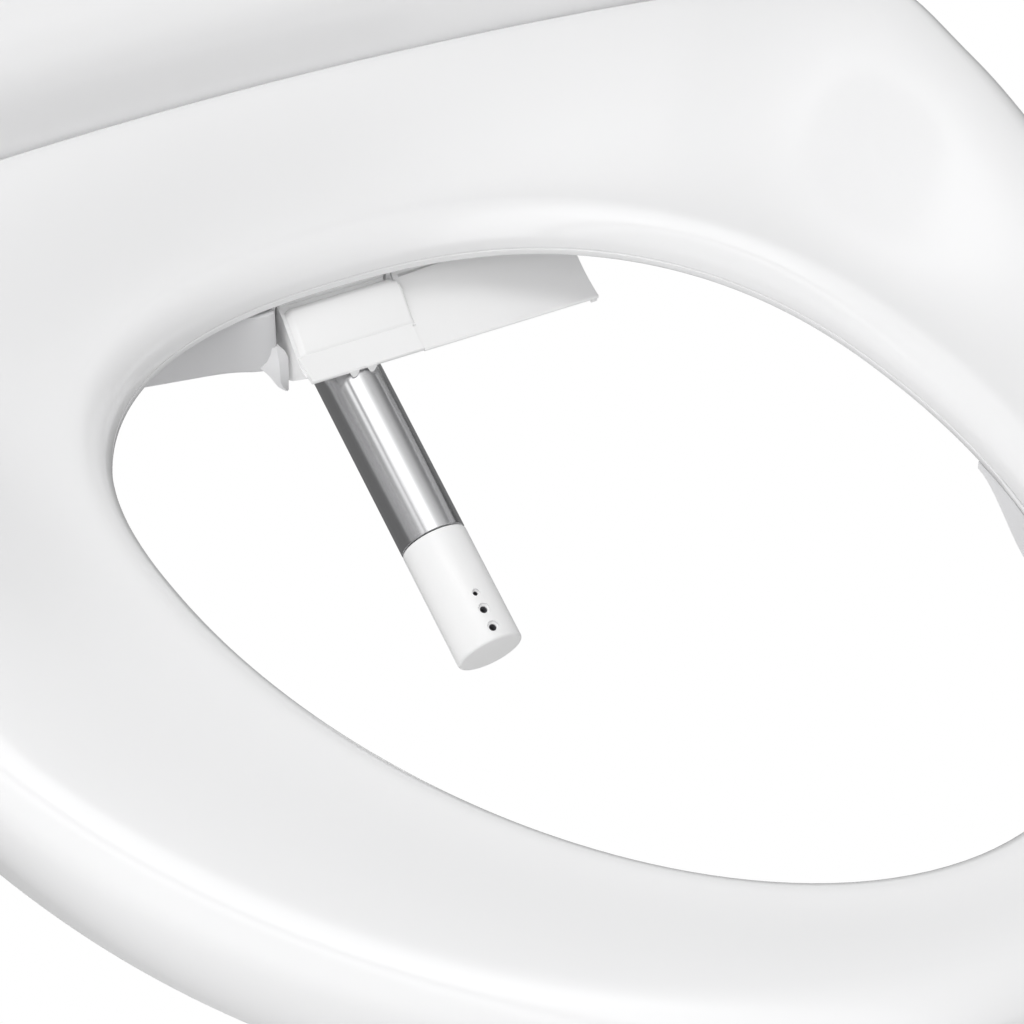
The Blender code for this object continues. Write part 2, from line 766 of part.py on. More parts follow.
def mounting(steel, rubber, plastic):
    """The plate that is bolted to the bowl, its fixings and the two front feet."""
    wide, deep, high = PLATE_SIZE
    plate = add("mounting_plate", block((-wide / 2, -deep / 2, 0), (wide / 2, deep / 2, high)), steel)
    for label, side in (("left", -1), ("right", 1)):
        x = side * BOLT_X
        hole = rod(BOLT_RADIUS + 0.5, (x, 0, -5.0), (0, 0, 1), 20.0, 16)
        combine(plate, hole, "DIFFERENCE")
        outline = [(0.0, -62.0), (BOLT_RADIUS, -62.0), (BOLT_RADIUS, high + GAP)]
        outline += [(8.5, high + GAP), (8.5, high + 4.2), (0.0, high + 4.2)]
        add("mounting_bolt_" + label, turned(outline, (x, 0, 0), (0, 0, 1), 16), steel)
        loose = BOLT_RADIUS + GAP
        bush = [(loose, -26.0), (8.0, -26.0), (13.0, BUSH_TOP_Z), (loose, BUSH_TOP_Z)]
        add("bolt_bush_" + label, turned(bush, (x, 0, 0), (0, 0, 1), 16), rubber)
        nut = [(loose, -44.0), (9.0, -44.0), (14.0, -28.0), (loose, -28.0)]
        add("bolt_nut_" + label, turned(nut, (x, 0, 0), (0, 0, 1), 16), plastic)
        place = (side * FOOT_PLACE[0], FOOT_PLACE[1], 0)
        foot = rod(FOOT_RADIUS, place, (0, 0, 1), CHASSIS_Z - GAP, 16)
        add("front_foot_" + label, foot, rubber, edge=0.8)


# ---------------------------------------------------------------- nozzle and flap


def nozzle(steel, white, grey):
    """The spray nozzle: white tip, steel tube and the carriage that the belt pulls."""
    back = nozzle_direction()
    tip_base = on_nozzle(0.0)
    r = NOZZLE_RADIUS
    outline = [(0.0, 0.0), (r - 0.8, 0.0), (r, 0.8), (r, TIP_LENGTH - 0.4), (r - 2.0, TIP_LENGTH)]
    outline += [(0.0, TIP_LENGTH)]
    tip = add("nozzle_tip", turned(outline, tip_base, back, 32), white, tip_base)
    up = (0.0, -back[2], back[1])
    for place, radius in JETS:
        jet = rod(radius, on_nozzle(place, r - 2.0), up, 6.0, 12)
        combine(tip, jet, "DIFFERENCE", tip_base)
    tube = sleeve(r - 1.0, r, on_nozzle(TIP_LENGTH + GAP), back, TUBE_END - TIP_LENGTH, 32)
    add("nozzle_tube", tube, steel, tip_base)
    carriage = rod(11.5, on_nozzle(TUBE_END + 2 * GAP), back, CARRIAGE_END - TUBE_END - GAP, 24)
    body = add("nozzle_carriage", carriage, grey, tip_base)
    clamp = nozzle_block(4.0, -19.0, -9.0, TUBE_END + 8.0, CARRIAGE_END - 3.0)
    combine(body, clamp, "UNION", tip_base)


def nozzle_guide(finish):
    """The trough that the nozzle's carriage runs in."""
    outline = arc((0, 0), 13.8, 180, 360, 10) + arc((0, 0), 12.0, 360, 180, 10)
    turn = Matrix.Rotation(NOZZLE_SLOPE, 4, "X")
    sections = []
    for back in (GUIDE_START, GUIDE_END):
        origin = Vector(on_nozzle(back))
        sections.append([origin + turn @ Vector((x, 0.0, z)) for x, z in outline])
    guide = add("nozzle_guide", loft(sections, ring=False), finish)
    slot = nozzle_block(5.0, -20.0, -8.0, GUIDE_START + 4.0, GUIDE_END - 4.0)
    combine(guide, slot, "DIFFERENCE")


def belt_drive(black, white, steel):
    """The motor, its two pulleys and the toothed belt that moves the nozzle."""
    lift = -26.0
    start, end = TUBE_END + 6.0, GUIDE_END - 8.0
    radius = 5.0
    reach = radius + 1.6
    span = end - start
    outer = arc((0, 0), reach, 90, 270, 8) + arc((span, 0), reach, 270, 450, 8)
    inner = arc((0, 0), radius + GAP, 90, 270, 8) + arc((span, 0), radius + GAP, 270, 450, 8)
    mesh = bmesh.new()
    rows = []
    for path, x in ((outer, -3.0), (outer, 3.0), (inner, 3.0), (inner, -3.0)):
        rows.append([mesh.verts.new(on_nozzle(start + a, lift + b, x)) for a, b in path])
    for one, two in zip(rows, rows[1:] + rows[:1]):
        for i in range(len(one)):
            j = (i + 1) % len(one)
            mesh.faces.new((one[i], one[j], two[j], two[i]))
    add("drive_belt", mesh, black)
    for name, back in (("idler_pulley", start), ("drive_pulley", end)):
        centre = on_nozzle(back, lift, -3.5)
        outline = [(1.6, 0.0), (radius, 0.0), (radius, 7.0), (1.6, 7.0)]
        pivot = on_nozzle(back, lift)
        add(name, turned(outline, centre, (1, 0, 0), 18), white, pivot)
    motor = [(0.0, 0.0), (1.3, 0.0), (1.3, 11.0), (11.4, 11.0), (11.4, 31.0), (0.0, 31.0)]
    add("nozzle_motor", turned(motor, on_nozzle(end, lift, -3.5), (1, 0, 0), 24), steel)


def nozzle_flap(finish):
    """The hood over the bay: an arched block with a sloping lip and two small ribs beneath it."""
    y, z = FLAP_AXIS
    pivot = (0.0, y, z)
    outer = [(-131.2, 23.0), (-131.5, 23.2), (-139.9, 13.2), (-146.9, 9.1)]
    inner = [(-146.3, 7.9), (-139.6, 11.9), (-131.2, 21.0)]
    low, high = FLAP_X
    flap = add("nozzle_flap", prism(outer + inner, low, HOOD_END_X), finish, pivot)
    eye = prism(arc((y, z), 2.6, 0, 330, 11), low + 0.5, high - 0.5)
    combine(flap, eye, "UNION", pivot)
    web = [(y - 1.0, z + 1.9), (y, z - 2.3), (-131.0, 21.2), (-131.4, 22.9)]
    combine(flap, prism(web, low + 0.5, high - 0.5), "UNION", pivot)
    cheek = [(-131.6, 22.4), (-139.8, 12.8), (-144.8, 9.6), (-136.6, 3.9), (-131.5, 3.0)]
    cheek += [(-125.4, 12.0), (-126.0, 23.0)]
    combine(flap, prism(cheek, low + 0.05, low + 1.3), "UNION", pivot)
    short = [(-131.6, 22.4), (-139.4, 13.2), (-139.2, 12.8), (-131.0, 18.0)]
    combine(flap, prism(short, high - 1.0, HOOD_END_X - 0.05), "UNION", pivot)
    combine(flap, rod(1.0 + GAP, (low - 2.0, y, z), (1, 0, 0), 40.0, 12), "DIFFERENCE", pivot)
    for x in (-2.75, 2.75):
        rib = [(x - 1.6, 8.9), (x - 0.6, 6.8), (x + 0.6, 6.8), (x + 1.6, 8.9)]
        combine(flap, prism(rib, -147.1, -146.4, "Y"), "UNION", pivot)


def front_panels(white, grey, steel):
    """The fixed panels round the bay, and the flap's pin and its two posts."""
    left, right = APRON_X
    deck = CHASSIS_Z + 3.0 + GAP
    centre, radius = APRON_CURVE
    apron = arc(centre, radius, -68, -32, 8) + [(-120.5, 26.0), (-120.5, deck), (-122.0, deck)]
    apron += [(-122.0, 24.6)] + arc(centre, radius + 1.4, -33, -67, 8)
    add("splash_apron", prism(apron, left, right), white)
    low, high = PANEL_X
    panel = [(low, -131.0), (high, -131.6), (-32.0, -132.3), (-27.0, -133.8), (-23.8, -134.9)]
    panel += [(-21.0, -135.0), (-19.8, -134.0), (-19.4, -132.0), (-19.4, -122.6), (-21.0, -122.6)]
    panel += [(-21.0, -132.6), (-23.8, -133.3), (-27.0, -132.2), (-32.0, -130.6), (low, -129.4)]
    shroud = add("nozzle_shroud", prism(panel, SHROUD_Z[0], SHROUD_Z[1], "Z"), grey)
    floor = block((low, -130.2, SHROUD_Z[0]), (-20.0, -122.6, SHROUD_Z[0] + 1.5))
    combine(shroud, floor, "UNION")
    hook = [(-25.4, 11.5), (-23.2, 7.5), (-22.4, 5.5), (-20.6, 2.8), (-18.4, 1.8), (-17.8, 3.0)]
    hook += [(-17.5, 12.5), (-20.6, 14.5)]
    combine(shroud, prism(hook, -137.2, -134.4, "Y"), "UNION")
    pin = rod(1.0, (FLAP_X[0] - 2.0, *FLAP_AXIS), (1, 0, 0), FLAP_X[1] - FLAP_X[0] + 3.9, 12)
    add("flap_pin", pin, steel)
    for label, edge, side in (("left", FLAP_X[0] - 0.4, -1), ("right", FLAP_X[1] + 0.4, 1)):
        y, z = FLAP_AXIS
        ear = [(y - 2.8, z + 2.6), (y + 2.8, z + 2.6), (y + 2.8, deck), (y - 0.4, deck)]
        post = add("flap_bearing_" + label, prism(ear, edge, edge + side * 1.4), grey)
        combine(post, rod(1.0 + GAP, (edge - side, y, z), (side, 0, 0), 5.0, 12), "DIFFERENCE")


# ---------------------------------------------------------------- inner works


def inner_works(finishes):
    """Heater tank, valve, pump, boards, blower and dampers inside the housing."""
    white, grey, black, green, steel, copper = finishes
    floor = CHASSIS_Z + 3.0 + GAP
    tank = add("water_heater_tank", block((28.0, -52.0, floor), (112.0, -10.0, 62.0)), grey, edge=4.0)
    combine(tank, rod(4.0, (112.5 - 2.0, -30.0, 54.0), (1, 0, 0), 9.0, 12), "UNION")
    add("solenoid_valve", block((150.0, 34.0, floor), (186.0, 62.0, 42.0)), black, edge=2.0)
    add("water_pump", rod(13.0, (124.0, 48.0, 28.0), (1, 0, 0), 24.0, 20), steel)
    add("control_board", block((-120.0, -50.0, 84.0), (60.0, 20.0, 85.6)), green)
    add("power_supply", block((-186.0, -34.0, floor), (-130.0, -2.0, 40.0)), copper, edge=1.5)
    outline = [(10.0, 0.0), (27.0, 0.0), (27.0, 22.0), (0.0, 22.0), (0.0, 20.4), (25.4, 20.4)]
    outline += [(25.4, 1.6), (10.0, 1.6)]
    add("blower_casing", turned(outline, (-88.0, 26.0, floor + 1.0), (0, 0, 1), 24), black)
    hub = [(0.0, 4.0), (20.0, 4.0), (20.0, 5.5), (6.0, 5.5), (6.0, 15.0), (0.0, 15.0)]
    centre = (-88.0, 26.0, floor + 1.0)
    wheel = add("blower_impeller", turned(hub, centre, (0, 0, 1), 20), white, centre)
    for k in range(7):
        turn = Matrix.Rotation(2 * math.pi * k / 7, 3, "Z")
        blade = block((4.0, -0.7, 5.0), (20.0, 0.7, 14.0))
        bmesh.ops.rotate(blade, verts=blade.verts, cent=(0, 0, 0), matrix=turn)
        bmesh.ops.translate(blade, verts=blade.verts, vec=centre)
        combine(wheel, blade, "UNION", centre)
    for label, side in (("left", -1), ("right", 1)):
        start = LID_DAMPER_X[0] + GAP
        damper = rod(7.6, (side * start, *LID_AXIS), (side, 0, 0), LID_DAMPER_X[1] - start, 20)
        add("lid_damper_" + label, damper, grey)
        barrel = rod(9.0, (side * 100.0, -45.0, 74.0), (side, 0, 0), 36.0, 20)
        add("seat_damper_" + label, barrel, grey)


def connections(steel, black):
    """The water inlet on the left rear and the gland of the mains lead on the right rear."""
    y = HOUSING_REAR_Y
    outline = [(4.0, 0.0), (9.0, 0.0), (9.0, 6.0), (7.0, 6.0), (7.0, 20.0), (4.0, 20.0)]
    add("water_inlet", turned(outline, (-160.0, y + GAP, 26.0), (0, 1, 0), 20), steel)
    gland = [(0.0, 0.0), (9.0, 0.0), (9.0, 4.0), (6.0, 6.0), (5.0, 14.0), (0.0, 14.0)]
    add("power_gland", turned(gland, (160.0, y + GAP, 26.0), (0, 1, 0), 20), black)


def controls(white, grey, carbon_black):
    """Side keys, the release button, the filter drawer and the indicator window."""
    face = HOUSING_HALF_WIDTH
    for number, y in enumerate(KEY_Y, start=1):
        pivot = (face, y, KEY_Z)
        outline = [(0.0, -8.0), (7.4, -8.0), (7.4, -3.4), (KEY_RADIUS, -3.4)]
        outline += [(KEY_RADIUS, 1.2), (KEY_RADIUS - 0.8, 2.0), (0.0, 2.0)]
        add("side_key_" + str(number), turned(outline, pivot, (1, 0, 0), 16), grey, pivot)
    low, high = -face - 2.4, -face + 12.0
    button = block((low, RELEASE_Y - 9.0, 56.0), (high, RELEASE_Y + 9.0, 64.0))
    add("release_button", button, grey, (-face, RELEASE_Y, 60.0), edge=1.0)
    near, far = FILTER_Y
    middle = (near + far) / 2
    drawer = block((-face - 1.2, near, 50.0), (-face + 62.0, far, 67.0))
    tray = add("deodorizer_cartridge", drawer, white, (-face, middle, 58.0), edge=1.0)
    hollow = block((-face + 4.0, near + 2.0, 52.0), (-face + 60.0, far - 2.0, 72.0))
    combine(tray, hollow, "DIFFERENCE", (-face, middle, 58.0))
    carbon = block((-face + 4.4, near + 2.4, 52.4), (-face + 59.6, far - 2.4, 65.0))
    add("carbon_filter", carbon, carbon_black, (-face, middle, 58.0))
    disc = rod(5.0, (120.0, 0.0, HOUSING_TOP_Z + GAP), (0, 0, 1), 1.0 - GAP, 12)
    add("indicator_window", disc, grey)


def build():
    """Make every piece."""
    clear_scene()
    white = material("gloss_white_plastic", (0.88, 0.88, 0.88), 0.12)
    shade = material("satin_white_plastic", (0.80, 0.80, 0.81), 0.35)
    grey = material("grey_plastic", (0.55, 0.56, 0.57), 0.45)
    black = material("black_plastic", (0.04, 0.04, 0.045), 0.5)
    green = material("circuit_board", (0.03, 0.20, 0.08), 0.5)
    copper = material("potted_module", (0.12, 0.12, 0.13), 0.6)
    steel = material("stainless_steel", (0.62, 0.62, 0.63), 0.22, 1.0)
    rubber = material("light_rubber", (0.70, 0.70, 0.70), 0.7)
    carbon = material("charcoal", (0.05, 0.05, 0.05), 0.9)
    seat_upper_shell(white)
    seat_lower_shell(shade)
    splash_guard(shade)
    seat_heater(copper)
    seat_bumpers(rubber)
    seat_hinge_pins(steel)
    lid(white)
    lid_fittings(rubber, steel)
    housing_cover(white)
    base_chassis(shade)
    mounting(steel, rubber, grey)
    nozzle(steel, white, grey)
    nozzle_guide(shade)
    belt_drive(black, white, steel)
    nozzle_flap(white)
    front_panels(white, shade, steel)
    inner_works((white, grey, black, green, steel, copper))
    connections(steel, black)
    controls(white, grey, carbon)


build()
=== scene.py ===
"""Looks of the electric bidet seat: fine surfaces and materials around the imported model.

Lengths below are millimetres, which MM turns into Blender's metres. +X is the right side seen
from the front, +Y is the rear and +Z is up.
"""

import math

import bmesh
import bpy
from mathutils import Matrix, Vector


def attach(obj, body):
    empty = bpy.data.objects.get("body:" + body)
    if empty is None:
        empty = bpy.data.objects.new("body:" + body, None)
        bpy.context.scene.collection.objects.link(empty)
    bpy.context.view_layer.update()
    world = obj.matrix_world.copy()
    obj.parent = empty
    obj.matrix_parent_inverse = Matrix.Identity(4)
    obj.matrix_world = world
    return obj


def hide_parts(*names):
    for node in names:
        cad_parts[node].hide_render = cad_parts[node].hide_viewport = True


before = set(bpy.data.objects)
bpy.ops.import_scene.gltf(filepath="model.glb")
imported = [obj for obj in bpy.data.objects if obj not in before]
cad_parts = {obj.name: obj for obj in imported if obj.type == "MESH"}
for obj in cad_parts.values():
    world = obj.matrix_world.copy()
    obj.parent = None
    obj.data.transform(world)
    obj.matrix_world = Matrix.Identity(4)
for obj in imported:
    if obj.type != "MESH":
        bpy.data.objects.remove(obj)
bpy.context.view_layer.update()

MM = 0.001

# Shared by all pieces.
SIDES = (("left", -1), ("right", 1))
SHARP_ANGLE = 35.0
BISECTIONS = 40
NODE_ROUNDING = 0.35
WELD_DISTANCE = 0.002 * MM
FLAT_ANGLE = 0.5

# Seat ring.
OPENING_Y = -250.0
OPENING_HALF_WIDTH = 102.7
OPENING_REAR = 117.2
OPENING_FRONT = 169.1
OPENING_REAR_POWER = 2.42
CROWN_HALF_WIDTH = 166.0
CROWN_FRONT = 206.0
FLARE_START_Y = -330.0
FLARE_LENGTH = 195.0
FLARE_WIDTH = 25.0
FLARE_POWER = 2.3
CORNER_START_Y = -200.0
CORNER_POWER = 7
REAR_LINE_Y = -80.9
REAR_LINE_BOW = 0.0006
RIM_Z = 40.0
RIM_BOTTOM_Z = 26.7
RIM_ROUND = 10.35
CREST_FRONT_Z = 44.0
CREST_REAR_Z = 66.0
CREST_RISE_START_Y = -300.0
CREST_RISE_LENGTH = 130.0
SIDE_ROUND = 12.0
SIDE_BOTTOM_Z = 18.0
REAR_ROUND = 2.5
REAR_BOTTOM_Z = 54.0
REAR_HALF_ANGLE = (44.0, 56.0)
SHELL = 2.4
LIP = 0.5
RING_STEPS = 256
UNDERSIDE_RAISE = 0.8
UNDERSIDE_DEPTH = 2.2
SKIRT_ANGLES = (202, 338)
SKIRT_STEPS = 112
SKIRT_FADE_STEPS = 12

# Hinges: lines along X, given as (Y, Z).
SEAT_AXIS = (-82.0, 74.0)
SEAT_KNUCKLE_X = (150.0, 170.0)
SEAT_KNUCKLE_RADIUS = 8.0
SEAT_PIN_RADIUS = 3.5
LID_AXIS = (52.0, 86.0)
LID_LUG_X = (108.0, 127.0)
LID_TOWER_X = (128.0, 144.0)
LID_LUG_RADIUS = 8.5
LID_PIN_RADIUS = 3.5
LID_OPEN_ANGLE = 105.0
LID_UNDER_REAR_Z = 102.8
LID_UNDER_FRONT_Z = 57.0
LID_THICKNESS = 3.0
LID_CROWN = 2.5
LID_MIDDLE_Y = -200.0
LID_HALF_WIDTH = 172.0
LID_FLARE_WIDTH = 24.0
LID_FLARE_LENGTH = 250.0
LID_CORNER_POWER = 12
LID_STEPS = 168

# Rear housing.
HOUSING_HALF_WIDTH = 205.0
HOUSING_REAR_Y = 72.0
HOUSING_TOP_Z = 98.0
HOUSING_SPLIT_Z = 44.0
HOUSING_CORNER_X = 142.0
HOUSING_CORNER_Y = -70.0
HOUSING_CORNER_ROUND = 14.0
HOUSING_STEPS = 48
SEAT_EARS_X = ((143.0, 149.5), (170.5, 177.0))
SHELF_Y = 36.0
SHELF_Z = 72.0
WALL = 2.6
GAP = 0.3

# Nozzle, its axis in the plane X = 0.
NOZZLE_SLOPE = math.radians(30.1)
NOZZLE_BACK = (0.0, math.cos(NOZZLE_SLOPE), math.sin(NOZZLE_SLOPE))
NOZZLE_UP = (0.0, -math.sin(NOZZLE_SLOPE), math.cos(NOZZLE_SLOPE))
NOZZLE_STEPS = 128
NOZZLE_TIP = (-216.2, -44.5)
NOZZLE_RADIUS = 9.5
TIP_LENGTH = 35.4
TUBE_END = 112.0
JETS = ((3.7, 1.7), (9.3, 1.7), (14.4, 1.1))
JET_BORE = 0.62
JET_STEPS = 32

# Panels round the nozzle bay; edges are lines along X, given as (Y, Z).
HOOD_AXIS = (-126.5, 24.5)
HOOD_BEND = (-139.9, 13.2)
HOOD_SLOPE = math.radians(49.9)
HOOD_CREST = 12.4
HOOD_X = (-16.5, 20.3)
LIP_END_X = 19.15
LIP_EDGE_Y = -147.0
HOOD_CORNER = 3.8
HOOD_EDGE = 1.1
APRON_X = (19.3, 76.0)
APRON_CENTRE = (-162.85, 48.0)
APRON_RADIUS = 42.3
APRON_SLIT = ((21.0, 22.2), (34.5, 22.7), (34.5, 22.9), (21.0, 22.9))
APRON_DEPTH = 1.2
SHROUD_TOP_Z = 26.1
SHROUD_DEPTH = 1.5

# Side controls.
KEY_Y = (-18.0, 0.0, 18.0)
KEY_Z = 64.0
KEY_RADIUS = 5.0
RELEASE_Y = -40.0
FILTER_Y = (4.0, 34.0)

# Camera, floor and light, in metres.
CAMERA_PLACE = (-0.35106, -0.82295, 0.48683)
CAMERA_AIM = (-0.02322, -0.26684, 0.040)
CAMERA_LENS = 114.79
LIGHT_AIM = (0.0, -0.2, 0.05)
FLOOR_Z = -0.42
FLOOR_HALF_SIZE = 9.0
FLOOR_BOUNCE = (0.85, 0.85, 0.85)
FLOOR_IN_GLOSS = (0.20, 0.20, 0.20, 1.0)
ROOM_LIGHT = 0.64
ROOM_IN_GLOSS = (
    (0.0, 0.50),
    (0.13, 0.46),
    (0.16, 1.40),
    (0.19, 1.40),
    (0.22, 0.40),
    (0.25, 0.40),
    (0.28, 1.90),
    (0.51, 1.90),
    (0.58, 1.10),
    (0.68, 0.75),
    (0.80, 0.65),
    (0.93, 0.20),
    (1.0, 0.12),
)
WHITE = (1.0, 1.0, 1.0, 1.0)

# Materials.
PLASTIC_IOR = 1.5
COAT_ROUGHNESS = 0.16
SOLDER = (0.62, 0.62, 0.58, 1.0)
HEATER_TRACK = (0.75, 0.73, 0.68)


# ---------------- materials


def shader_of(name, colour, roughness, metallic=0.0):
    """A new material, its Principled BSDF and its node tree."""
    made = bpy.data.materials.new(name)
    made.use_nodes = True
    tree = made.node_tree
    shader = tree.nodes["Principled BSDF"]
    shader.inputs["Base Color"].default_value = (*colour, 1.0)
    shader.inputs["Roughness"].default_value = roughness
    shader.inputs["Metallic"].default_value = metallic
    made.diffuse_color = (*colour, 1.0)
    return made, shader, tree


def coordinates(tree, stretch=(1.0, 1.0, 1.0), turn=(0.0, 0.0, 0.0)):
    """Object coordinates, turned and then scaled along each axis."""
    source = tree.nodes.new("ShaderNodeTexCoord")
    turned_by = tree.nodes.new("ShaderNodeMapping")
    turned_by.inputs["Rotation"].default_value = turn
    scaled = tree.nodes.new("ShaderNodeMapping")
    scaled.inputs["Scale"].default_value = stretch
    tree.links.new(source.outputs["Object"], turned_by.inputs["Vector"])
    tree.links.new(turned_by.outputs["Vector"], scaled.inputs["Vector"])
    return scaled.outputs["Vector"]


def noise(tree, vector, scale, detail=3.0, rough=0.5):
    """The value of a noise texture."""
    made = tree.nodes.new("ShaderNodeTexNoise")
    made.inputs["Scale"].default_value = scale
    made.inputs["Detail"].default_value = detail
    made.inputs["Roughness"].default_value = rough
    tree.links.new(vector, made.inputs["Vector"])
    return made.outputs["Fac"]


def ramp(tree, value, stops):
    """A colour ramp through (place, colour) stops."""
    made = tree.nodes.new("ShaderNodeValToRGB")
    elements = made.color_ramp.elements
    while len(elements) < len(stops):
        elements.new(0.5)
    for element, (place, colour) in zip(elements, stops):
        element.position = place
        element.color = (*colour, 1.0)
    tree.links.new(value, made.inputs["Fac"])
    return made.outputs["Color"]


def spread(tree, value, low, high):
    """A value's middle range stretched to run from low to high."""
    made = tree.nodes.new("ShaderNodeMapRange")
    made.inputs["From Min"].default_value = 0.3
    made.inputs["From Max"].default_value = 0.7
    made.inputs["To Min"].default_value = low
    made.inputs["To Max"].default_value = high
    tree.links.new(value, made.inputs["Value"])
    return made.outputs["Result"]


def bump(tree, shader, height, strength, distance):
    """Surface relief from a height value; distance is in metres."""
    made = tree.nodes.new("ShaderNodeBump")
    made.inputs["Strength"].default_value = strength
    made.inputs["Distance"].default_value = distance
    tree.links.new(height, made.inputs["Height"])
    tree.links.new(made.outputs["Normal"], shader.inputs["Normal"])


def tinted(colour, factor):
    """A colour made darker or lighter."""
    return tuple(min(1.0, channel * factor) for channel in colour)


def moulded(name, colour, roughness, grain, relief, coat=0.0):
    """Injection-moulded plastic: faint flow marks, uneven gloss and a fine grain."""
    made, shader, tree = shader_of(name, colour, roughness)
    space = coordinates(tree)
    flow = noise(tree, space, 9.0, 4.0)
    shade = ramp(tree, flow, ((0.2, tinted(colour, 0.98)), (0.8, tinted(colour, 1.01))))
    tree.links.new(shade, shader.inputs["Base Color"])
    patches = noise(tree, space, 60.0, 3.0)
    gloss = spread(tree, patches, roughness * 0.94, roughness * 1.08)
    tree.links.new(gloss, shader.inputs["Roughness"])
    bump(tree, shader, noise(tree, space, grain, 2.0), 0.35, relief)
    shader.inputs["IOR"].default_value = PLASTIC_IOR
    shader.inputs["Coat Weight"].default_value = coat
    shader.inputs["Coat Roughness"].default_value = COAT_ROUGHNESS
    return made


def drawn_steel(name, colour, roughness, turn=(0.0, 0.0, 0.0), streak=(900.0, 900.0, 9.0)):
    """Drawn and brushed steel, its lines running along the turned Z axis."""
    made, shader, tree = shader_of(name, colour, roughness, 1.0)
    lines = coordinates(tree, streak, turn)
    fine = noise(tree, lines, 1.0, 4.0, 0.6)
    broad = noise(tree, coordinates(tree, tuple(s / 6 for s in streak), turn), 1.0, 3.0)
    shade = ramp(tree, broad, ((0.3, tinted(colour, 0.82)), (0.55, colour), (0.75, tinted(colour, 1.18))))
    tree.links.new(shade, shader.inputs["Base Color"])
    tree.links.new(spread(tree, fine, roughness * 0.75, roughness * 1.4), shader.inputs["Roughness"])
    bump(tree, shader, fine, 0.25, 0.00002)
    shader.inputs["Anisotropic"].default_value = 0.5
    return made


def rubber(name, colour):
    """Soft moulded rubber, matt and a little dusty."""
    made, shader, tree = shader_of(name, colour, 0.75)
    space = coordinates(tree)
    dust = noise(tree, space, 140.0, 5.0, 0.7)
    shade = ramp(tree, dust, ((0.35, colour), (0.75, tinted(colour, 1.3))))
    tree.links.new(shade, shader.inputs["Base Color"])
    tree.links.new(spread(tree, dust, 0.62, 0.9), shader.inputs["Roughness"])
    bump(tree, shader, noise(tree, space, 1800.0, 2.0), 0.5, 0.00006)
    return made


def circuit_board(name, colour):
    """Green solder mask over copper tracks, with tinned pads."""
    made, shader, tree = shader_of(name, colour, 0.35)
    space = coordinates(tree)
    tracks = tree.nodes.new("ShaderNodeTexBrick")
    tracks.inputs["Scale"].default_value = 55.0
    tracks.inputs["Mortar Size"].default_value = 0.03
    tracks.inputs["Color1"].default_value = (*colour, 1.0)
    tracks.inputs["Color2"].default_value = (*tinted(colour, 0.8), 1.0)
    tracks.inputs["Mortar"].default_value = (*tinted(colour, 2.0), 1.0)
    tree.links.new(space, tracks.inputs["Vector"])
    pads = tree.nodes.new("ShaderNodeTexVoronoi")
    pads.inputs["Scale"].default_value = 160.0
    tree.links.new(space, pads.inputs["Vector"])
    mix = tree.nodes.new("ShaderNodeMix")
    mix.data_type = "RGBA"
    solder = ramp(tree, pads.outputs["Distance"], ((0.10, (1.0, 1.0, 1.0)), (0.16, (0.0, 0.0, 0.0))))
    tree.links.new(solder, mix.inputs["Factor"])
    tree.links.new(tracks.outputs["Color"], mix.inputs[6])
    mix.inputs[7].default_value = SOLDER
    tree.links.new(mix.outputs[2], shader.inputs["Base Color"])
    bump(tree, shader, tracks.outputs["Fac"], 0.3, 0.00005)
    return made


def heater_foil(name, colour):
    """Thin film with a winding heater track printed on it."""
    made, shader, tree = shader_of(name, colour, 0.4)
    wave = tree.nodes.new("ShaderNodeTexWave")
    wave.wave_type = "RINGS"
    wave.rings_direction = "Z"
    wave.inputs["Scale"].default_value = 45.0
    wave.inputs["Distortion"].default_value = 1.5
    tree.links.new(coordinates(tree), wave.inputs["Vector"])
    track = ramp(tree, wave.outputs["Fac"], ((0.45, colour), (0.55, HEATER_TRACK)))
    tree.links.new(track, shader.inputs["Base Color"])
    tree.links.new(spread(tree, wave.outputs["Fac"], 0.5, 0.25), shader.inputs["Roughness"])
    bump(tree, shader, wave.outputs["Fac"], 0.3, 0.00005)
    return made


def charcoal(name, colour):
    """Pressed carbon granules."""
    made, shader, tree = shader_of(name, colour, 0.9)
    grains = tree.nodes.new("ShaderNodeTexVoronoi")
    grains.inputs["Scale"].default_value = 650.0
    tree.links.new(coordinates(tree), grains.inputs["Vector"])
    shade = ramp(tree, grains.outputs["Distance"], ((0.1, tinted(colour, 2.2)), (0.6, tinted(colour, 0.5))))
    tree.links.new(shade, shader.inputs["Base Color"])
    bump(tree, shader, grains.outputs["Distance"], 0.9, 0.0005)
    return made


GLOSS = moulded("gloss_white_plastic", (0.86, 0.86, 0.865), 0.17, 420.0, 0.00003, 0.35)
SATIN = moulded("satin_white_plastic", (0.80, 0.80, 0.81), 0.38, 1500.0, 0.00004)
# Painted shade: a darker copy of the white plastic, standing for the shade that falls on the shroud under
# the seat.
SHADE_PAINTED_WHITE = moulded("shroud_white_plastic_painted_shade", (0.66, 0.66, 0.67), 0.38, 1500.0, 0.00004)
# Painted light: a lighter copy of the white plastic, so the hood and apron under the seat show brighter
# than their light makes them.
LIGHT_PAINTED_WHITE = moulded("hood_white_plastic_painted_light", (0.93, 0.93, 0.93), 0.24, 420.0, 0.00003, 0.2)
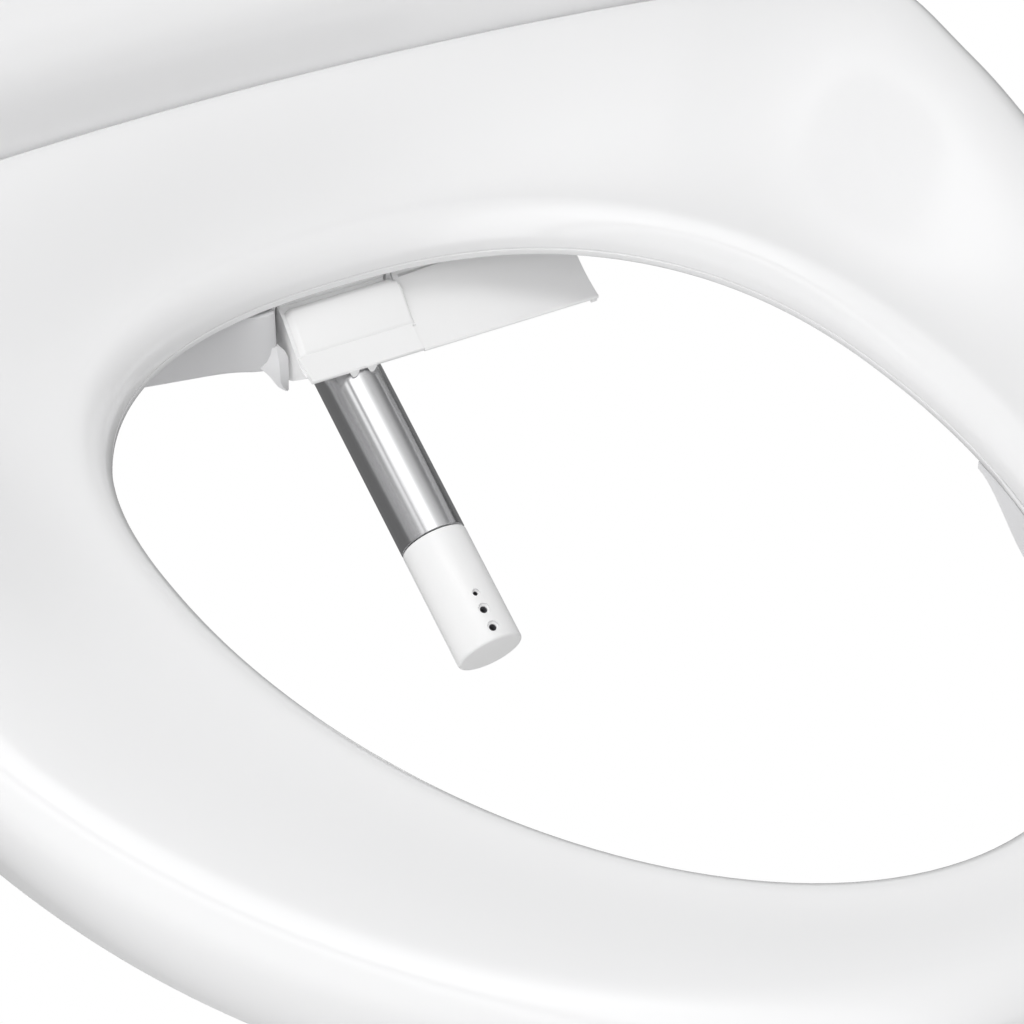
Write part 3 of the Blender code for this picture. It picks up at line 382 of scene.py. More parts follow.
# Painted light: a white lighter than the seat's, so the nozzle tip shows brighter than its light makes it;
# the pulleys, impeller and cartridge share it.
TIP_WHITE_PAINTED_LIGHT = moulded("nozzle_tip_plastic_painted_light", (0.93, 0.93, 0.93), 0.30, 1300.0, 0.00002)
GREY = moulded("grey_plastic", (0.50, 0.51, 0.52), 0.45, 1600.0, 0.00005)
BLACK = moulded("black_plastic", (0.035, 0.035, 0.04), 0.5, 1600.0, 0.00005)
POTTED = moulded("potted_module", (0.10, 0.10, 0.11), 0.55, 500.0, 0.00015)
ALONG_NOZZLE = (math.pi / 2 - NOZZLE_SLOPE, 0.0, 0.0)
TUBE_STEEL = drawn_steel("nozzle_tube_steel", (0.66, 0.66, 0.67), 0.20, ALONG_NOZZLE)
STEEL = drawn_steel("machined_steel", (0.60, 0.60, 0.61), 0.28, (0.0, math.pi / 2, 0.0))
PLATED = drawn_steel("plated_steel", (0.58, 0.58, 0.57), 0.34, streak=(300.0, 300.0, 300.0))
LIGHT_RUBBER = rubber("light_rubber", (0.62, 0.62, 0.62))
BELT_RUBBER = rubber("belt_rubber", (0.035, 0.035, 0.037))
BOARD = circuit_board("circuit_board", (0.03, 0.19, 0.08))
FOIL = heater_foil("heater_foil", (0.45, 0.28, 0.12))
CARBON = charcoal("charcoal", (0.05, 0.05, 0.05))


# ---------------- mesh helpers


def placed(made):
    """A new object, linked to the scene."""
    bpy.context.scene.collection.objects.link(made)
    return made


def finished(mesh, name, finish, angle=SHARP_ANGLE):
    """Turn a bmesh in millimetres into an object in metres."""
    bmesh.ops.recalc_face_normals(mesh, faces=mesh.faces)
    bmesh.ops.scale(mesh, verts=mesh.verts, vec=(MM, MM, MM))
    data = bpy.data.meshes.new(name)
    mesh.to_mesh(data)
    mesh.free()
    data.shade_smooth()
    data.set_sharp_from_angle(angle=math.radians(angle))
    if finish:
        data.materials.append(finish)
    made = bpy.data.objects.new(name, data)
    return placed(made)


def rounded(target, width, segments=3, angle=40.0):
    """Round the target's edges."""
    bevel = target.modifiers.new("rounding", "BEVEL")
    bevel.width = width * MM
    bevel.segments = segments
    bevel.limit_method = "ANGLE"
    bevel.angle_limit = math.radians(angle)
    bevel.harden_normals = False


def baked(target):
    """Replace the target's mesh by the outcome of its modifiers."""
    bpy.context.view_layer.update()
    graph = bpy.context.evaluated_depsgraph_get()
    result = bpy.data.meshes.new_from_object(target.evaluated_get(graph))
    target.modifiers.clear()
    target.data = result
    result.shade_smooth()
    result.set_sharp_from_angle(angle=math.radians(SHARP_ANGLE))


def combined(target, operations):
    """Join solids on or cut them from the target, then drop the helpers."""
    helpers = []
    for operation, mesh in operations:
        helper = finished(mesh, target.name + "_helper", None)
        boolean = target.modifiers.new(operation.lower(), "BOOLEAN")
        boolean.operation = operation
        boolean.object = helper
        boolean.solver = "EXACT"
        helpers.append(helper)
    baked(target)
    for helper in helpers:
        bpy.data.objects.remove(helper, do_unlink=True)


def bored(target, side, span, axis, pin_radius):
    """A hinge eye between two distances along X, bored for its pin and rounded."""
    low, high = span
    bore = rod(pin_radius + GAP, (side * (low - 2), *axis), (side, 0, 0), high - low + 4)
    combined(target, [("DIFFERENCE", bore)])
    rounded(target, 0.7)
    return target


def worn_by(target, body, replaced=()):
    """Let the target ride on a CAD body in place of some of its nodes."""
    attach(target, body)
    for node in replaced:
        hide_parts(node)
    return target


def block(low, high):
    """A box between two corners."""
    mesh = bmesh.new()
    bmesh.ops.create_cube(mesh, size=1.0)
    size = [high[i] - low[i] for i in range(3)]
    middle = [(high[i] + low[i]) / 2 for i in range(3)]
    bmesh.ops.scale(mesh, verts=mesh.verts, vec=size)
    bmesh.ops.translate(mesh, verts=mesh.verts, vec=middle)
    return mesh


def skinned(mesh, pairs):
    """The mesh with four-sided faces between each pair of closed rows of vertices."""
    for one, two in pairs:
        for i in range(len(one)):
            j = (i + 1) % len(one)
            mesh.faces.new((one[i], one[j], two[j], two[i]))
    return mesh


def prism(points, start, end, normal="X"):
    """A flat outline extruded along one axis; points hold the two other coordinates in order."""
    place = {
        "X": lambda p, d: (d, p[0], p[1]),
        "Y": lambda p, d: (p[0], d, p[1]),
        "Z": lambda p, d: (p[0], p[1], d),
    }[normal]
    mesh = bmesh.new()
    near = [mesh.verts.new(place(p, start)) for p in points]
    far = [mesh.verts.new(place(p, end)) for p in points]
    mesh.faces.new(near[::-1])
    mesh.faces.new(far)
    return skinned(mesh, [(near, far)])


def turned(profile, base, direction, steps=96):
    """A closed (radius, distance) outline turned about an axis; a radius of 0 makes a pole."""
    turn = Vector(direction).to_track_quat("Z", "Y").to_matrix().to_4x4()
    place = Matrix.Translation(Vector(base)) @ turn
    mesh = bmesh.new()
    rings = []
    for radius, distance in profile:
        if radius == 0.0:
            rings.append([mesh.verts.new(place @ Vector((0.0, 0.0, distance)))])
            continue
        ring = []
        for k in range(steps):
            a = 2 * math.pi * k / steps
            point = Vector((radius * math.cos(a), radius * math.sin(a), distance))
            ring.append(mesh.verts.new(place @ point))
        rings.append(ring)
    for one, two in zip(rings, rings[1:] + rings[:1]):
        for k in range(steps):
            j = (k + 1) % steps
            corners = [one[k % len(one)], one[j % len(one)], two[j % len(two)], two[k % len(two)]]
            face = list(dict.fromkeys(corners))
            if len(face) > 2:
                mesh.faces.new(face)
    return mesh


def rod(radius, base, direction, length, steps=48):
    """A plain round bar, for cutting bores."""
    return turned([(0.0, 0.0), (radius, 0.0), (radius, length), (0.0, length)], base, direction, steps)


def loft(sections, ring=True):
    """Skin closed sections of equal point count; ring joins the last one to the first."""
    mesh = bmesh.new()
    rows = [[mesh.verts.new(p) for p in section] for section in sections]
    pairs = list(zip(rows, rows[1:]))
    if ring:
        pairs.append((rows[-1], rows[0]))
    else:
        mesh.faces.new(rows[0][::-1])
        mesh.faces.new(rows[-1])
    return skinned(mesh, pairs)


def smooth(value):
    """Ease from 0 to 1."""
    t = min(1.0, max(0.0, value))
    return t * t * (3 - 2 * t)


def mirrored(points):
    """The same (x, y) points on the other side of the middle plane, in reverse order."""
    return [(-x, y) for x, y in reversed(points)]


def arc(centre, radius, start, end, steps):
    """Points of an arc, angles in degrees."""
    made = []
    for k in range(steps + 1):
        a = math.radians(start + (end - start) * k / steps)
        made.append((centre[0] + radius * math.cos(a), centre[1] + radius * math.sin(a)))
    return made


def eased(points, steps):
    """A smooth open curve through points."""
    made = []
    for i in range(len(points) - 1):
        p0, p1 = Vector(points[max(0, i - 1)]), Vector(points[i])
        p2, p3 = Vector(points[i + 1]), Vector(points[min(len(points) - 1, i + 2)])
        for k in range(steps):
            t = k / steps
            a = 2 * p1 + (p2 - p0) * t + (2 * p0 - 5 * p1 + 4 * p2 - p3) * t * t
            made.append(tuple((a + (3 * p1 - p0 - 3 * p2 + p3) * t**3) / 2))
    return made + [tuple(points[-1])]


def halved(level, low, high):
    """Distance at which level, which grows with distance, reaches 1."""
    for _ in range(BISECTIONS):
        middle = (low + high) / 2
        if level(middle) < 1.0:
            low = middle
        else:
            high = middle
    return low


# ---------------- seat ring


def rear_line(x):
    """Y of the joint line between the seat and the housing."""
    return REAR_LINE_Y - REAR_LINE_BOW * min(abs(x), HOUSING_CORNER_X) ** 2


def crown_half_width(y):
    """Half width of the crown line at y, widening towards the rear."""
    flare = max(0.0, (y - FLARE_START_Y) / FLARE_LENGTH)
    return CROWN_HALF_WIDTH + FLARE_WIDTH * flare**FLARE_POWER


def crown_level(x, y):
    """1 on the crown line, less inside it and more outside it."""
    side = abs(x) / crown_half_width(y)
    if y < OPENING_Y:
        return math.hypot(side, (y - OPENING_Y) / CROWN_FRONT)
    rear = rear_line(x) - GAP - REAR_ROUND - CORNER_START_Y
    depth = max(0.0, y - CORNER_START_Y) / rear
    return (side**CORNER_POWER + depth**CORNER_POWER) ** (1 / CORNER_POWER)


def crown_radius(angle):
    """Distance from the opening's centre to the crown line."""
    c, s = math.cos(angle), math.sin(angle)
    return halved(lambda r: crown_level(r * c, OPENING_Y + r * s), 50.0, 320.0)


def opening_radius(angle):
    """Distance from the opening's centre to its wall."""
    c, s = abs(math.cos(angle)), abs(math.sin(angle))
    length, power = (OPENING_REAR, OPENING_REAR_POWER) if math.sin(angle) > 0 else (OPENING_FRONT, 2.0)
    return ((c / OPENING_HALF_WIDTH) ** power + (s / length) ** power) ** (-1 / power)


def rear_share(angle):
    """1 along the hinge side of the ring, 0 along its sides and front."""
    away = abs(math.degrees(angle) % 360 - 90)
    narrow, wide = REAR_HALF_ANGLE
    return 1 - smooth((away - narrow) / (wide - narrow))


def crest_z(y):
    """Height of the crown line, which sweeps up to the rear."""
    rise = smooth((y - CREST_RISE_START_Y) / CREST_RISE_LENGTH)
    return CREST_FRONT_Z + (CREST_REAR_Z - CREST_FRONT_Z) * rise


def outer_drop(angle):
    """(overhang of the outer wall past the crown line, height of its lower edge)."""
    rear = rear_share(angle)
    overhang = SIDE_ROUND + (REAR_ROUND - SIDE_ROUND) * rear
    return overhang, SIDE_BOTTOM_Z + (REAR_BOTTOM_Z - SIDE_BOTTOM_Z) * rear


def seat_profile(angle, rise_steps, round_steps):
    """(distance, height) points over the ring, from the opening's wall to the outer wall."""
    inner = opening_radius(angle)
    crown = crown_radius(angle)
    crest = crest_z(OPENING_Y + crown * math.sin(angle))
    overhang, bottom = outer_drop(angle)
    points = [(inner, RIM_BOTTOM_Z + LIP)]
    points += arc((inner + RIM_ROUND, RIM_Z - RIM_ROUND), RIM_ROUND, 180, 90, round_steps)
    start = inner + RIM_ROUND
    for k in range(1, rise_steps):
        u = k / rise_steps
        points.append((start + (crown - start) * u, RIM_Z + (crest - RIM_Z) * smooth(u)))
    points += arc((crown, crest - overhang), overhang, 90, 0, round_steps)
    points.append((crown + overhang + 0.5, bottom + LIP))
    return points


def inset(points, depth):
    """The same open path moved to its right-hand side by depth."""
    moved = []
    for i, point in enumerate(points):
        before = Vector(points[max(0, i - 1)])
        after = Vector(points[min(len(points) - 1, i + 1)])
        along = (after - before).normalized()
        moved.append((point[0] + along.y * depth, point[1] - along.x * depth))
    return moved


def around(angle, points):
    """Stand (distance, height) points up on the ray from the opening's centre."""
    c, s = math.cos(angle), math.sin(angle)
    return [(r * c, OPENING_Y + r * s, z) for r, z in points]


def seat_section(angle):
    """One closed section of the upper shell, with softened lips."""
    top = seat_profile(angle, 30, 12)
    under = inset(seat_profile(angle, 6, 4), SHELL)
    start, end = top[0], top[-1]
    groove = [(0.0, 1.9), (0.25, 2.1), (0.25, 2.35), (0.0, 2.55)]
    top[1:1] = [(start[0] + depth, RIM_BOTTOM_Z + rise) for depth, rise in groove]
    inner_lip = [(start[0] + SHELL - LIP, RIM_BOTTOM_Z), (start[0] + LIP, RIM_BOTTOM_Z)]
    outer_lip = [(end[0] - LIP, end[1] - LIP), (end[0] - SHELL + LIP, end[1] - LIP)]
    under[0] = (start[0] + SHELL, RIM_BOTTOM_Z + LIP)
    under[-1] = (end[0] - SHELL, end[1])
    return around(angle, top + outer_lip + under[::-1] + inner_lip)


def seat_upper_shell():
    """The crowned top of the seat."""
    sections = [seat_section(2 * math.pi * k / RING_STEPS) for k in range(RING_STEPS)]
    shell = finished(loft(sections), "seat_ring_top", GLOSS, 50.0)
    worn_by(shell, "seat", ["seat_upper_shell"])
    for label, side in SIDES:
        worn_by(seat_knuckle(label, side), "seat")


def seat_knuckle(label, side):
    """The hinge eye on the seat's rear corner."""
    y, z = SEAT_AXIS
    eye = arc((y, z), SEAT_KNUCKLE_RADIUS, -60, 150, 24)
    foot = [(y - 20.0, CREST_REAR_Z - 3.0), (y - 12.0, CREST_REAR_Z - 6.0), (y - 6.0, CREST_REAR_Z - 4.0)]
    low, high = SEAT_KNUCKLE_X
    made = finished(prism(eye + foot, side * low, side * high), "seat_knuckle_" + label, GLOSS)
    return bored(made, side, SEAT_KNUCKLE_X, SEAT_AXIS, SEAT_PIN_RADIUS)


def seat_lower_shell():
    """The plate that closes the seat's underside, set up inside the upper shell."""
    sections = []
    for k in range(RING_STEPS):
        angle = 2 * math.pi * k / RING_STEPS
        inner = opening_radius(angle) + SHELL + GAP
        overhang, bottom = outer_drop(angle)
        outer = crown_radius(angle) + overhang - SHELL - GAP
        near, far = RIM_BOTTOM_Z + UNDERSIDE_RAISE, bottom + UNDERSIDE_RAISE
        depth = UNDERSIDE_DEPTH
        points = [(inner + 0.4, near), (outer - 0.4, far), (outer, far + 0.4), (outer, far + depth)]
        points += [(inner, near + depth), (inner, near + 0.4)]
        sections.append(around(angle, points))
    plate = finished(loft(sections), "seat_ring_underside", SATIN)
    worn_by(plate, "seat", ["seat_lower_shell"])


def splash_skirt():
    """The skirt that hangs inside the front of the opening and turns splashes back."""
    sections = []
    start, end = SKIRT_ANGLES
    for k in range(SKIRT_STEPS + 1):
        angle = math.radians(start + (end - start) * k / SKIRT_STEPS)
        fade = smooth(min(k, SKIRT_STEPS - k) / SKIRT_FADE_STEPS)
        inner = opening_radius(angle) + 0.4
        bottom = RIM_BOTTOM_Z - 3.0 - 9.0 * fade
        top = RIM_BOTTOM_Z - GAP
        points = [(inner, bottom + 0.6), (inner + 0.6, bottom), (inner + 1.3, bottom)]
        points += [(inner + 1.8, bottom + 0.6), (inner + 2.0, top), (inner, top)]
        sections.append(around(angle, points))
    skirt = finished(loft(sections, ring=False), "splash_skirt", SATIN)
    worn_by(skirt, "seat", ["splash_guard_skirt"])


# ---------------- lid


def lid_under_z(y):
    """Height of the closed lid's underside."""
    slope = smooth((y + 470.0) / 400.0)
    return LID_UNDER_FRONT_Z + (LID_UNDER_REAR_Z - LID_UNDER_FRONT_Z) * slope


def lid_half_width(y):
    """Half width of the lid, which widens to the rear in one even sweep."""
    return LID_HALF_WIDTH + LID_FLARE_WIDTH * smooth((y - FLARE_START_Y) / LID_FLARE_LENGTH)


def lid_level(x, y):
    """1 on the lid's edge, less inside it."""
    side = abs(x) / lid_half_width(y)
    if y < OPENING_Y:
        return math.hypot(side, (OPENING_Y - y) / (CROWN_FRONT + 8.0))
    behind = (y - OPENING_Y) / (LID_AXIS[0] + 6.0 - OPENING_Y)
    return (side**LID_CORNER_POWER + behind**LID_CORNER_POWER) ** (1 / LID_CORNER_POWER)


def lid_radius(angle):
    """Distance from the lid's middle to its edge."""
    c, s = math.cos(angle), math.sin(angle)
    return halved(lambda r: lid_level(r * c, LID_MIDDLE_Y + r * s), 50.0, 400.0)


def lid_row(edge, share, lift):
    """One ring of lid points at a share of the edge radius, lifted above the underside."""
    row = []
    for k, full in enumerate(edge):
        angle = 2 * math.pi * k / LID_STEPS
        r = full * share
        x, y = r * math.cos(angle), LID_MIDDLE_Y + r * math.sin(angle)
        crown = LID_CROWN * (1 - share**2)
        row.append((x, y, lid_under_z(y) + crown + lift))
    return row


def lid_plate():
    """A gently crowned plate with a rounded, turned-down rim."""
    edge = [lid_radius(2 * math.pi * k / LID_STEPS) for k in range(LID_STEPS)]
    shares = [k / 14 for k in range(1, 14)]
    outline = [(share, LID_THICKNESS) for share in shares] + [(0.965, LID_THICKNESS)]
    for k in range(1, 7):
        a = math.radians(15 * k)
        outline.append((0.985 + 0.015 * math.sin(a), LID_THICKNESS - 3.0 + 3.0 * math.cos(a) - 0.2))
    outline += [(1.0, -3.4), (0.998, -4.0), (0.989, -4.0), (0.987, -3.4), (0.985, -0.8), (0.978, 0.0)]
    outline += [(share, 0.0) for share in shares[::-1]]
    mesh = bmesh.new()
    rows = [[mesh.verts.new(p) for p in lid_row(edge, share, lift)] for share, lift in outline]
    middle_z = lid_under_z(LID_MIDDLE_Y) + LID_CROWN
    top_middle = mesh.verts.new((0.0, LID_MIDDLE_Y, middle_z + LID_THICKNESS))
    low_middle = mesh.verts.new((0.0, LID_MIDDLE_Y, middle_z))
    for k in range(LID_STEPS):
        j = (k + 1) % LID_STEPS
        mesh.faces.new((top_middle, rows[0][k], rows[0][j]))
        mesh.faces.new((low_middle, rows[-1][j], rows[-1][k]))
        for one, two in zip(rows, rows[1:]):
            mesh.faces.new((one[k], two[k], two[j], one[j]))
    return mesh


def opened(mesh):
    """Turn a solid of the closed lid about the lid hinge to where the open lid rests."""
    turn = Matrix.Rotation(math.radians(-LID_OPEN_ANGLE), 3, "X")
    bmesh.ops.rotate(mesh, verts=mesh.verts, cent=(0.0, *LID_AXIS), matrix=turn)
    return mesh


def lid_lug(label, side):
    """The eye that hangs from the lid's rear edge round the hinge pin."""
    y, z = LID_AXIS
    eye = arc((y, z), LID_LUG_RADIUS, 180, 360, 24)
    top = LID_UNDER_REAR_Z + 1.2
    low, high = LID_LUG_X
    outline = eye + [(y + LID_LUG_RADIUS, top - 4.0), (y + 4.5, top), (y - LID_LUG_RADIUS, top)]
    made = finished(opened(prism(outline, side * low, side * high)), "lid_lug_" + label, GLOSS)
    return bored(made, side, LID_LUG_X, LID_AXIS, LID_PIN_RADIUS)


def lid():
    """The open lid with its two hinge lugs."""
    plate = finished(opened(lid_plate()), "lid_panel", GLOSS)
    worn_by(plate, "lid", ["lid_shell"])
    for label, side in SIDES:
        worn_by(lid_lug(label, side), "lid")


# ---------------- housing


def housing_front(x, lean):
    """Y of the housing's front, set back by lean; beyond the corners it clears the knuckles."""
    if abs(x) > HOUSING_CORNER_X:
        return HOUSING_CORNER_Y + lean
    return rear_line(x) + GAP + lean


def housing_outline(lean, trim):
    """The housing's plan outline, counted from the right rear corner, trimmed inwards."""
    half = HOUSING_HALF_WIDTH - trim
    rear = HOUSING_REAR_Y - trim
    turn = HOUSING_CORNER_ROUND
    front = HOUSING_CORNER_Y + lean + trim
    right = [(half, rear - turn), (half, front + turn)]
    right += arc((half - turn, front + turn), turn, 0, -90, 10)[1:]
    right += [(HOUSING_CORNER_X - trim, front)]
    middle = []
    reach = HOUSING_CORNER_X - 1.0 - trim
    for k in range(HOUSING_STEPS + 1):
        x = reach - 2 * reach * k / HOUSING_STEPS
        middle.append((x, housing_front(x, lean) + trim))
    back = arc((turn - half, rear - turn), turn, 180, 90, 10)[1:]
    return right + middle + mirrored(right) + back + mirrored(back)


def housing_levels():
    """(height, lean of the front, trim) up the housing, eased between its shape's stations."""
    stations = [
        (HOUSING_SPLIT_Z, 0.0, 0.0),
        (66.0, 0.0, 0.0),
        (82.0, 1.2, 0.0),
        (90.0, 3.5, 1.2),
        (95.5, 8.0, 3.5),
        (HOUSING_TOP_Z, 17.0, 8.0),
    ]
    return eased(stations, 6)


def tub(outside, inside):
    """A closed shell between an outer and an inner stack of outlines that share their rim."""
    mesh = bmesh.new()
    rows = [[mesh.verts.new(p) for p in row] for row in outside + inside]
    top = len(outside)
    mesh.faces.new(rows[top - 1])
    mesh.faces.new(rows[top][::-1])
    pairs = list(zip(rows[: top - 1], rows[1:top]))
    pairs += list(zip(rows[top:-1], rows[top + 1 :]))
    pairs.append((rows[-1], rows[0]))
    return skinned(mesh, pairs)


def lid_tower(side):
    """The post on the rear shelf that carries the lid's pin."""
    y, z = LID_AXIS
    outline = [(y - 8.0, SHELF_Z - 1.0), (y + 8.0, SHELF_Z - 1.0)] + arc((y, z), 8.0, 0, 180, 24)
    return prism(outline, side * LID_TOWER_X[0], side * LID_TOWER_X[1])


def seat_cheek(side, low, high):
    """One of the two ears that hold the seat's pin in the housing's front corner."""
    y, z = SEAT_AXIS
    rear = HOUSING_CORNER_Y + 2.0
    outline = arc((y, z), 7.5, 90, 270, 24) + [(rear, z - 7.5), (rear, z + 7.5)]
    return prism(outline, side * low, side * high)


def housing_cuts():
    """The solids that are joined on the casing or cut from it, in order."""
    wide = HOUSING_HALF_WIDTH
    inner = wide - WALL - 0.2
    cuts = [("DIFFERENCE", block((-250.0, SHELF_Y, SHELF_Z), (250.0, 100.0, 120.0)))]
    shelf = block((-inner, SHELF_Y - WALL, SHELF_Z - WALL), (inner, HOUSING_REAR_Y - WALL + 0.2, SHELF_Z))
    riser = block((-inner, SHELF_Y - WALL, SHELF_Z - 1.0), (inner, SHELF_Y, HOUSING_TOP_Z - 1.0))
    cuts += [("UNION", shelf), ("UNION", riser)]
    for side in (-1, 1):
        cuts.append(("UNION", lid_tower(side)))
        bore = rod(LID_PIN_RADIUS + GAP, (side * (LID_TOWER_X[0] - 1), *LID_AXIS), (side, 0, 0), 18.0)
        cuts.append(("DIFFERENCE", bore))
        for low, high in SEAT_EARS_X:
            cuts.append(("UNION", seat_cheek(side, low, high)))
        pin = rod(SEAT_PIN_RADIUS + GAP, (side * 142.0, *SEAT_AXIS), (side, 0, 0), 36.0)
        cuts.append(("DIFFERENCE", pin))
    cuts.append(("DIFFERENCE", block((-15.0, -100.0, 40.0), (15.0, -60.0, 52.0))))
    for y in KEY_Y:
        cuts.append(("DIFFERENCE", rod(KEY_RADIUS + 0.4, (wide - 6.0, y, KEY_Z), (1, 0, 0), 12.0)))
    low, high = FILTER_Y
    cuts.append(("DIFFERENCE", block((-wide - 6.0, low - 0.4, 49.6), (6.0 - wide, high + 0.4, 67.4))))
    button = block((-wide - 6.0, RELEASE_Y - 9.4, 55.6), (6.0 - wide, RELEASE_Y + 9.4, 64.4))
    cuts.append(("DIFFERENCE", button))
    return cuts


def housing_cover():
    """The upper casing with its leaning front, rear step, hinge posts and ears."""
    levels = housing_levels()
    outside = [[(x, y, z) for x, y in housing_outline(lean, trim)] for z, lean, trim in levels]
    inside = []
    for z, lean, trim in levels[::-6]:
        height = min(z, HOUSING_TOP_Z - WALL)
        inside.append([(x, y, height) for x, y in housing_outline(lean, trim + WALL)])
    cover = finished(tub(outside, inside), "housing_casing", GLOSS)
    combined(cover, housing_cuts())
    worn_by(cover, "base", ["housing_cover"])


# ---------------- nozzle


def on_nozzle(back, lift=0.0, x=0.0):
    """A point placed along the nozzle, back from its tip and lift above its axis."""
    c, s = NOZZLE_BACK[1:]
    return (x, NOZZLE_TIP[0] + c * back - s * lift, NOZZLE_TIP[1] + s * back + c * lift)


def nozzle_tip():
    """The white tip with rounded edges and three recessed jets on its top line, with dark cups in the holes
    as painted shade.
    """
    r = NOZZLE_RADIUS
    outline = [(0.0, 0.0), (r - 1.1, 0.0)] + arc((r - 0.8, 0.8), 0.8, -75, 0, 5)
    outline += [(r, TIP_LENGTH - 0.5), (r - 0.15, TIP_LENGTH - 0.15), (r - 0.5, TIP_LENGTH)]
    outline += [(0.0, TIP_LENGTH)]
    solid = turned(outline, on_nozzle(0.0), NOZZLE_BACK, NOZZLE_STEPS)
    # Painted light: the tip's white is raised above the seat's.
    tip = finished(solid, "nozzle_spray_tip", TIP_WHITE_PAINTED_LIGHT)
    cuts = []
    for place, radius in JETS:
        bore = rod(radius * JET_BORE, on_nozzle(place, r - 4.0), NOZZLE_UP, 8.0, JET_STEPS)
        cuts.append(("DIFFERENCE", bore))
        dish = [(0.0, -0.5), (radius * 0.9, -0.5), (radius, -0.35), (radius, 3.0), (0.0, 3.0)]
        cuts.append(("DIFFERENCE", turned(dish, on_nozzle(place, r - 0.35), NOZZLE_UP, JET_STEPS)))
    combined(tip, cuts)
    worn_by(tip, "nozzle", ["nozzle_tip"])
    # Dark cups in the spray holes: painted shade standing for the shade deep in the holes.
    for number, (place, radius) in enumerate(JETS, start=1):
        bore = radius * JET_BORE - 0.02
        cup = [(0.0, 0.0), (bore, 0.0), (bore, 2.8), (bore - 0.2, 3.0), (bore * 0.75, 2.8)]
        cup += [(bore * 0.55, 1.0), (0.0, 0.8)]
        solid = turned(cup, on_nozzle(place, r - 3.98), NOZZLE_UP, JET_STEPS)
        jet_shade_cup = finished(solid, "jet_painted_shade_cup_" + str(number), POTTED)
        worn_by(jet_shade_cup, "nozzle")


def nozzle_tube():
    """The drawn steel tube behind the tip, with softened ends."""
    r, end = NOZZLE_RADIUS, TUBE_END - TIP_LENGTH
    outline = [(r - 1.0, 0.0), (r - 0.35, 0.0), (r - 0.1, 0.1), (r, 0.35), (r, end - 0.35), (r - 0.35, end)]
    outline += [(r - 1.0, end)]
    solid = turned(outline, on_nozzle(TIP_LENGTH + GAP), NOZZLE_BACK, NOZZLE_STEPS)
    tube = finished(solid, "nozzle_steel_tube", TUBE_STEEL)
    worn_by(tube, "nozzle", ["nozzle_tube"])


# ---------------- front panels


def on_hood(along, proud):
    """(Y, Z) of a point along the hood's face, up from its bend, and proud of that face."""
    c, s = math.cos(HOOD_SLOPE), math.sin(HOOD_SLOPE)
    y, z = HOOD_BEND
    return (y + c * along - s * proud, z + s * along + c * proud)


def hood_section(x, drop, slide, lipped, taper=0.0):
    """One closed section of the hood, its face lowered by drop and its top slid down by slide."""
    crest = HOOD_CREST - slide
    outer = [on_hood(crest + u, -drop - 1.5 + v) for u, v in arc((0.0, 0.0), 1.5, -20, 90, 6)]
    outer += [on_hood(crest * share, -drop) for share in (0.8, 0.6, 0.4, 0.2)]
    outer += [on_hood(1.0, -drop * 0.8), on_hood(0.35, -drop * 0.6), on_hood(0.0, -0.2 - drop * 0.5)]
    if lipped:
        outer += [(-140.35, 12.93), (-144.0, 10.75), (-146.3, 9.4), (-146.9, 9.0), (LIP_EDGE_Y, 8.6)]
        under = [(-146.7, 8.0), (-146.2, 7.9), (-143.0, 9.8), (-140.6, 11.2), (-139.6, 11.9)]
    else:
        outer += [(-140.1, 12.9), (-140.15, 12.8), (-140.2, 12.7), (-140.2, 12.6), (-140.15, 12.5)]
        under = [(-140.1, 12.4), (-140.0, 12.3), (-139.9, 12.2), (-139.8, 12.1), (-139.6, 11.9)]
    under += [on_hood(3.0 - slide * 0.1, -2.2 - drop), on_hood(crest, -3.0 - drop)]
    reach = HOOD_BEND[0] - LIP_EDGE_Y
    return [(x + taper * smooth((HOOD_BEND[0] - y) / reach), y, z) for y, z in outer + under]


def hood_shell():
    """The hood's face and lip, with a facet on its left end and a rounded right corner."""
    low, high = HOOD_X
    sections = [hood_section(low, 1.9, 1.5, True, 0.9), hood_section(low + 2.7, 0.1, 0.4, True, 0.1)]
    sections.append(hood_section(low + 3.1, 0.0, 0.2, True))
    for k in range(9):
        turn = math.radians(11.25 * k)
        x = high - HOOD_CORNER + HOOD_CORNER * math.sin(turn)
        edge = max(0.0, (x - high + HOOD_EDGE) / HOOD_EDGE)
        drop = HOOD_EDGE * (1 - math.sqrt(max(0.0, 1 - edge**2)))
        slide = HOOD_CORNER * (1 - math.cos(turn))
        sections.append(hood_section(x, drop, slide, x <= LIP_END_X))
    lipped = [section for section in sections if section[-1][0] <= LIP_END_X]
    bare = [section for section in sections if section[-1][0] > LIP_END_X]
    end = [(LIP_END_X, y, z) for x, y, z in lipped[-1]]
    start = [(LIP_END_X + 0.02, y, z) for x, y, z in bare[0]]
    return loft(lipped + [end, start] + bare, ring=False)


